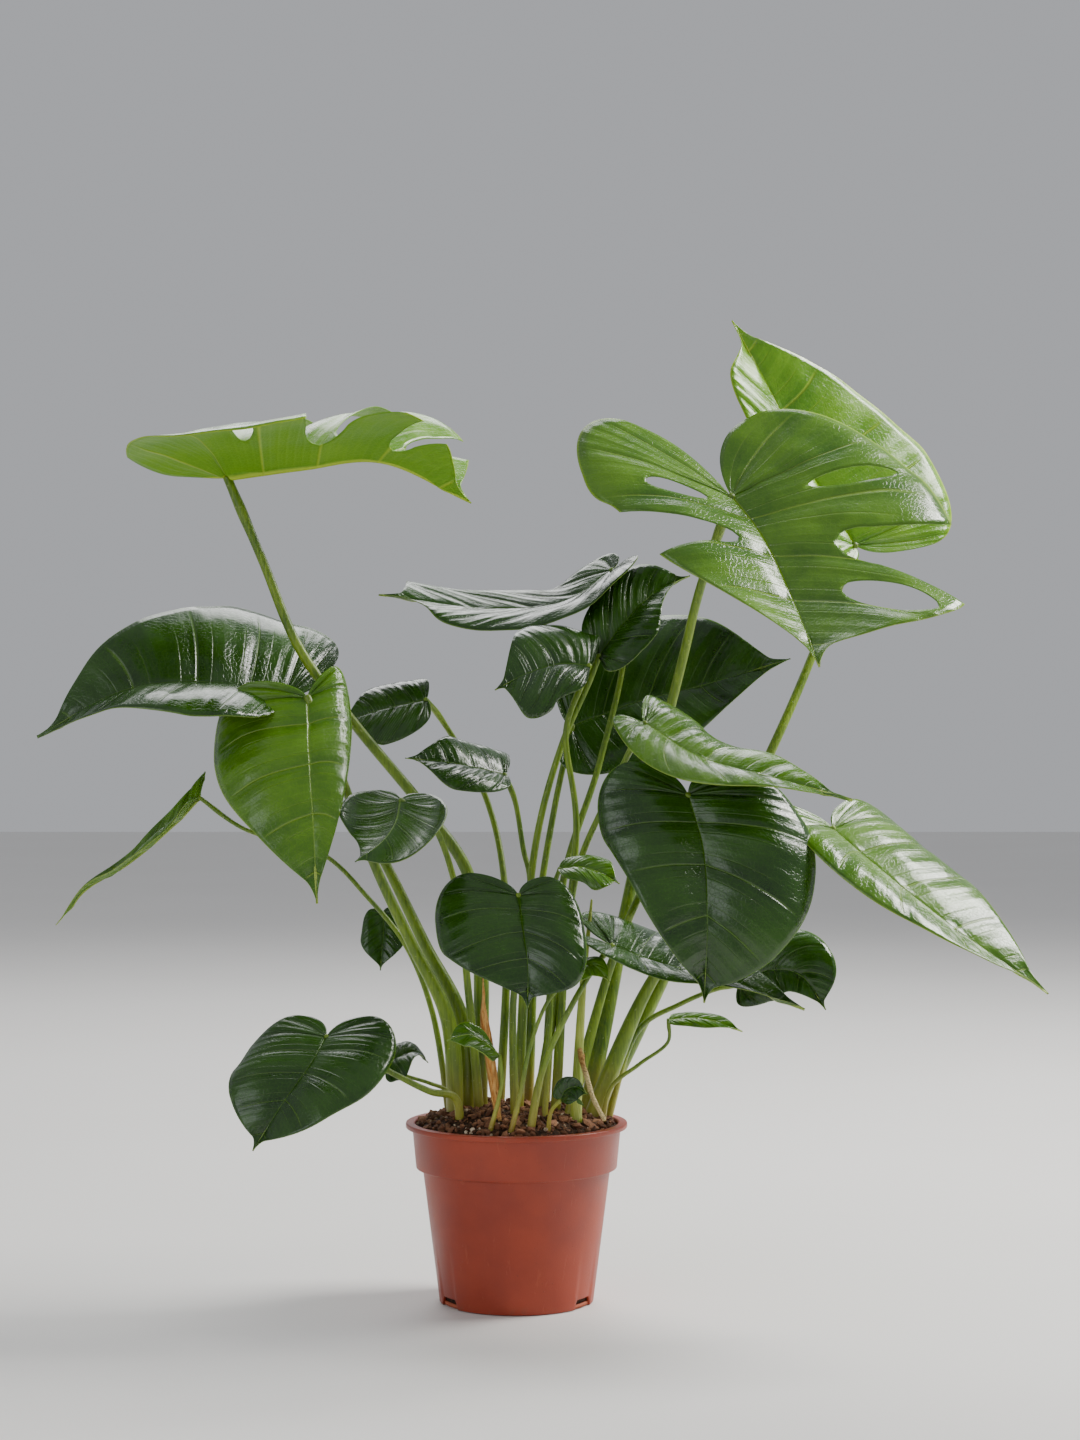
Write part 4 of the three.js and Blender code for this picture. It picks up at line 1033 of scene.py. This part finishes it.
def stalk_skin(s):
    """A stalk: yellow-green with lengthwise streaks, pale and faintly red at the foot, specks all over."""
    place = s.place()
    around, along = s.surface()
    streaks = place.scaled((1.0, 1.0, 0.06)).noise(700, 3, 0.6)
    patches = place.noise(30, 3, 0.5)
    specks = place.noise(420, 2, 0.5).ramp(0.66, 0.74)
    low = along.ramp(0.015, 0.075, 1, 0)
    mix = streaks.ramp(0.3, 0.7) * 0.5 + patches.ramp(0.3, 0.7) * 0.5
    colour = mix.colour(rgb(60, 92, 10), rgb(128, 154, 36))
    colour = (low * 0.7).colour(colour, rgb(186, 176, 74))
    colour = (low * patches.ramp(0.45, 0.65) * 0.6).colour(colour, rgb(132, 78, 44))
    colour = (specks * 0.35).colour(colour, rgb(190, 196, 128))
    rough = streaks.ramp(0.3, 0.7, 0.36, 0.5)
    height = streaks * 0.8 + specks * 0.4
    return colour, rough, height, 0.0003, {"Coat Weight": 0.1, "Coat Roughness": 0.3}


def young_skin(s):
    """The rolled leaf: fresh yellow-green, smooth, with faint spiral veins."""
    place = s.place()
    around, along = s.surface()
    lines = ((around * 9 + along * 60).maths("FRACT")).between(0.5, 0.18)
    patches = place.noise(40, 3, 0.5)
    colour = patches.ramp(0.3, 0.7).colour(rgb(128, 150, 44), rgb(168, 182, 74))
    colour = (lines * 0.25).colour(colour, rgb(196, 204, 118))
    rough = patches.ramp(0.3, 0.7, 0.34, 0.44)
    return colour, rough, lines * 0.5 + patches, 0.0003, {"Coat Weight": 0.2, "Coat Roughness": 0.3}


def root_skin(s):
    """A root: brown bark with rings of cracks, paler and greener towards its tip."""
    place = s.place()
    around, along = s.surface()
    bark = place.scaled((1.0, 1.0, 2.5)).noise(260, 4, 0.65)
    cracks = place.scaled((1.0, 1.0, 2.0)).cells(300).ramp(0, 0.12, 1, 0)
    colour = bark.ramp(0.3, 0.7).colour(rgb(140, 96, 48), rgb(196, 156, 92))
    colour = (along.ramp(0.04, 0.055) * 0.8).colour(colour, rgb(226, 208, 150))
    colour = (cracks * 0.35).colour(colour, rgb(84, 54, 32))
    return colour, bark.ramp(0.3, 0.7, 0.62, 0.85), bark - cracks * 0.7, 0.0006, {"Specular IOR Level": 0.3}


def papery(s):
    """A dried sheath: tan with darker fibres along it, blotched brown towards its edge."""
    place = s.place()
    along, out = s.surface()
    fibres = place.scaled((1.0, 1.0, 0.05)).noise(900, 3, 0.6)
    blotch = place.noise(55, 4, 0.6)
    colour = fibres.ramp(0.3, 0.7).colour(rgb(186, 122, 58), rgb(236, 188, 112))
    colour = (blotch.ramp(0.5, 0.72) * 0.6).colour(colour, rgb(110, 64, 32))
    colour = (out.ramp(0.75, 1.0) * 0.5).colour(colour, rgb(92, 54, 30))
    return colour, fibres.ramp(0.3, 0.7, 0.55, 0.75), fibres + blotch, 0.0006, {"Specular IOR Level": 0.35}


def pot_plastic(s):
    """Satin brick-red plastic: faintly cloudy, fine grain, lengthwise scuffs, soil dust near rim and foot."""
    place = s.place()
    around, high = s.surface()
    clouds = place.noise(14, 5, 0.6)
    grain = place.noise(1500, 2, 0.5)
    scuffs = place.scaled((1.0, 1.0, 0.22)).noise(190, 4, 0.7, 0.6).ramp(0.62, 0.7)
    dust = place.noise(60, 6, 0.7)
    upper = high.ramp(0.93, 1.0) + high.ramp(0.0, 0.06, 1, 0)
    specks = place.cells(260, "F1").ramp(0.05, 0.12, 1, 0) * place.noise(35, 2, 0.5).ramp(0.52, 0.62)
    colour = clouds.ramp(0.3, 0.7).colour(rgb(138, 46, 22), rgb(160, 60, 32))
    colour = (scuffs * 0.18).colour(colour, rgb(192, 108, 76))
    colour = (dust.ramp(0.5, 0.68) * upper * 0.4).colour(colour, rgb(112, 78, 56))
    colour = (specks * 0.6).colour(colour, rgb(60, 40, 28))
    rough = clouds.ramp(0.3, 0.7, 0.36, 0.48) + scuffs * 0.15 + specks * 0.3
    height = grain * 0.25 + clouds * 0.6 - scuffs * 0.2 + specks * 0.5
    return colour, rough, height, 0.00035, {"Coat Weight": 0.08, "Coat Roughness": 0.35}


def peat(s):
    """Potting soil: near-black brown crumbs with paler fibres."""
    place = s.place()
    crumb = place.noise(420, 5, 0.7)
    lumps = place.cells(330, "F1")
    fibres = place.scaled((1.0, 0.3, 0.3)).noise(650, 3, 0.6).ramp(0.63, 0.7)
    colour = crumb.ramp(0.3, 0.72).colour(rgb(26, 17, 12), rgb(84, 58, 40))
    colour = (fibres * 0.6).colour(colour, rgb(134, 98, 64))
    return colour, crumb.ramp(0.3, 0.7, 0.75, 0.95), crumb + lumps, 0.0014, {"Specular IOR Level": 0.25}


def crumb_skin(low, high, dark):
    """Loose bits of soil: each bit has its own tone, with fine pits and dark smears."""

    def build(s):
        place = s.place()
        tone = s.value("tone")
        grain = place.noise(620, 4, 0.65)
        colour = (tone * 0.7 + grain.ramp(0.3, 0.7) * 0.3).colour(low, high)
        colour = (place.noise(230, 3, 0.6).ramp(0.5, 0.7) * 0.5).colour(colour, dark)
        return colour, grain.ramp(0.3, 0.7, 0.7, 0.92), grain, 0.0005, {"Specular IOR Level": 0.3}

    return build


def floor_paint(s):
    """Pale matt floor with the faintest cloudiness."""
    clouds = s.place().noise(1.7, 3, 0.5)
    colour = clouds.colour(rgb(226, 224, 220), rgb(233, 231, 228))
    return colour, clouds.ramp(0, 1, 0.6, 0.7), clouds, 0.0002, {}


# The third finish in GREENS and BACKS paints light shining through backlit blades: its face and back greens
# are lighter and yellower than the leaves' own green.
GREENS = {
    "deep_green": [rgb(16, 44, 2), rgb(50, 88, 10), rgb(100, 138, 44), 0.14],
    "mid_green": [rgb(44, 84, 6), rgb(98, 142, 22), rgb(156, 188, 66), 0.15],
    "bright_green": [rgb(64, 116, 0), rgb(120, 170, 4), rgb(184, 208, 44), 0.2],
}
BACKS = {
    "deep_green": [rgb(34, 66, 10), rgb(66, 102, 22), rgb(140, 162, 70)],
    "mid_green": [rgb(60, 100, 14), rgb(104, 144, 34), rgb(166, 188, 84)],
    "bright_green": [rgb(74, 130, 0), rgb(122, 170, 0), rgb(182, 206, 50)],
}
BLADE_FINISH = {
    key: [finish(key + "_face", leaf_face(*GREENS[key])), finish(key + "_back", leaf_back(*BACKS[key]))]
    for key in GREENS
}
BLADE_FINISH["sheath"] = [finish("dried_papery", papery)]
STALK_FINISH = [finish("stalk_skin", stalk_skin)]

# ---------------------------------------------------------------- the plant
for number, leaf in enumerate([*LEAVES, DRIED_SHEATH]):
    key = leaf["finish"]
    blade = thickened(leaf["name"] + "_blade", leaf, number + 1, BLADE_THICKNESS, BLADE_FINISH[key])
    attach(blade, "root")
    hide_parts(leaf["name"])
for leaf in LEAVES:
    stem = leaf_stalk(leaf, STALK_FINISH)
    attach(stem, "root")
    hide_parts(leaf["name"] + "_stalk")

for piece, node, slot in (
    (rolled_leaf([finish("young_skin", young_skin)]), "new_leaf_spear", "bright_green_blade"),
    (hanging_root([finish("root_skin", root_skin)]), "aerial_root", "root_brown"),
    (pot_wall([finish("pot_plastic", pot_plastic)]), "pot", "pot_plastic"),
    (pot_floor([bpy.data.materials["pot_plastic"]]), "pot", "pot_plastic"),
    (soil_body([finish("peat", peat)]), "soil", "potting_soil"),
):
    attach(piece, "root")
    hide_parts(node)

for name, count, small, large, flat, colours in (
    ("peat_crumbs", 1500, 0.8, 3.6, 0.85, (rgb(40, 24, 16), rgb(150, 104, 76), rgb(24, 15, 10))),
    ("bark_bits", 420, 1.2, 6.0, 0.5, (rgb(84, 50, 34), rgb(176, 126, 92), rgb(44, 28, 20))),
    ("pale_bits", 260, 0.7, 2.6, 0.8, (rgb(150, 124, 98), rgb(226, 206, 180), rgb(110, 84, 62))),
):
    bits = crumbs(name, count, small, large, flat, [finish(name, crumb_skin(*colours))])
    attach(bits, "root")

# ---------------------------------------------------------------- floor, light, camera
floor = make_object(
    "floor",
    np.array([[-9000, -9000, -0.5], [9000, -9000, -0.5], [9000, 9000, -0.5], [-9000, 9000, -0.5]]),
    [np.array([[0, 1, 2, 3]])],
    materials=[finish("floor_paint", floor_paint)],
)


def area_light(name, place, target, size, power, colour):
    """A square soft light that faces its target."""
    lamp = bpy.data.lights.new(name, "AREA")
    lamp.size = size
    lamp.energy = power
    lamp.color = colour
    thing = bpy.data.objects.new(name, lamp)
    thing.location = place
    aim = Vector(target) - Vector(place)
    thing.rotation_euler = aim.to_track_quat("-Z", "Y").to_euler()
    bpy.context.scene.collection.objects.link(thing)


area_light("key", (1.7, 0.5, 1.9), (0, 0, 0.4), 1.0, 95, (1, 0.985, 0.95))
area_light("sheen", (-0.2, 2.1, 2.3), (0, 0, 0.5), 1.6, 34, (1, 1, 1))
area_light("fill", (-1.9, -2.2, 1.3), (0, 0, 0.4), 1.6, 16, (0.95, 0.98, 1))
world = bpy.data.worlds.new("studio")
bpy.context.scene.world = world
world.use_nodes = True
world.node_tree.nodes["Background"].inputs["Color"].default_value = (0.93, 0.95, 1, 1)
world.node_tree.nodes["Background"].inputs["Strength"].default_value = 0.46

lens = bpy.data.cameras.new("camera")
lens.lens = 70
lens.sensor_width = 36
lens.clip_end = 60
camera = bpy.data.objects.new("camera", lens)
camera.location = (0.018, -2.15, 0.445)
camera.rotation_euler = (math.pi / 2, 0, 0)
bpy.context.scene.collection.objects.link(camera)
bpy.context.scene.camera = camera
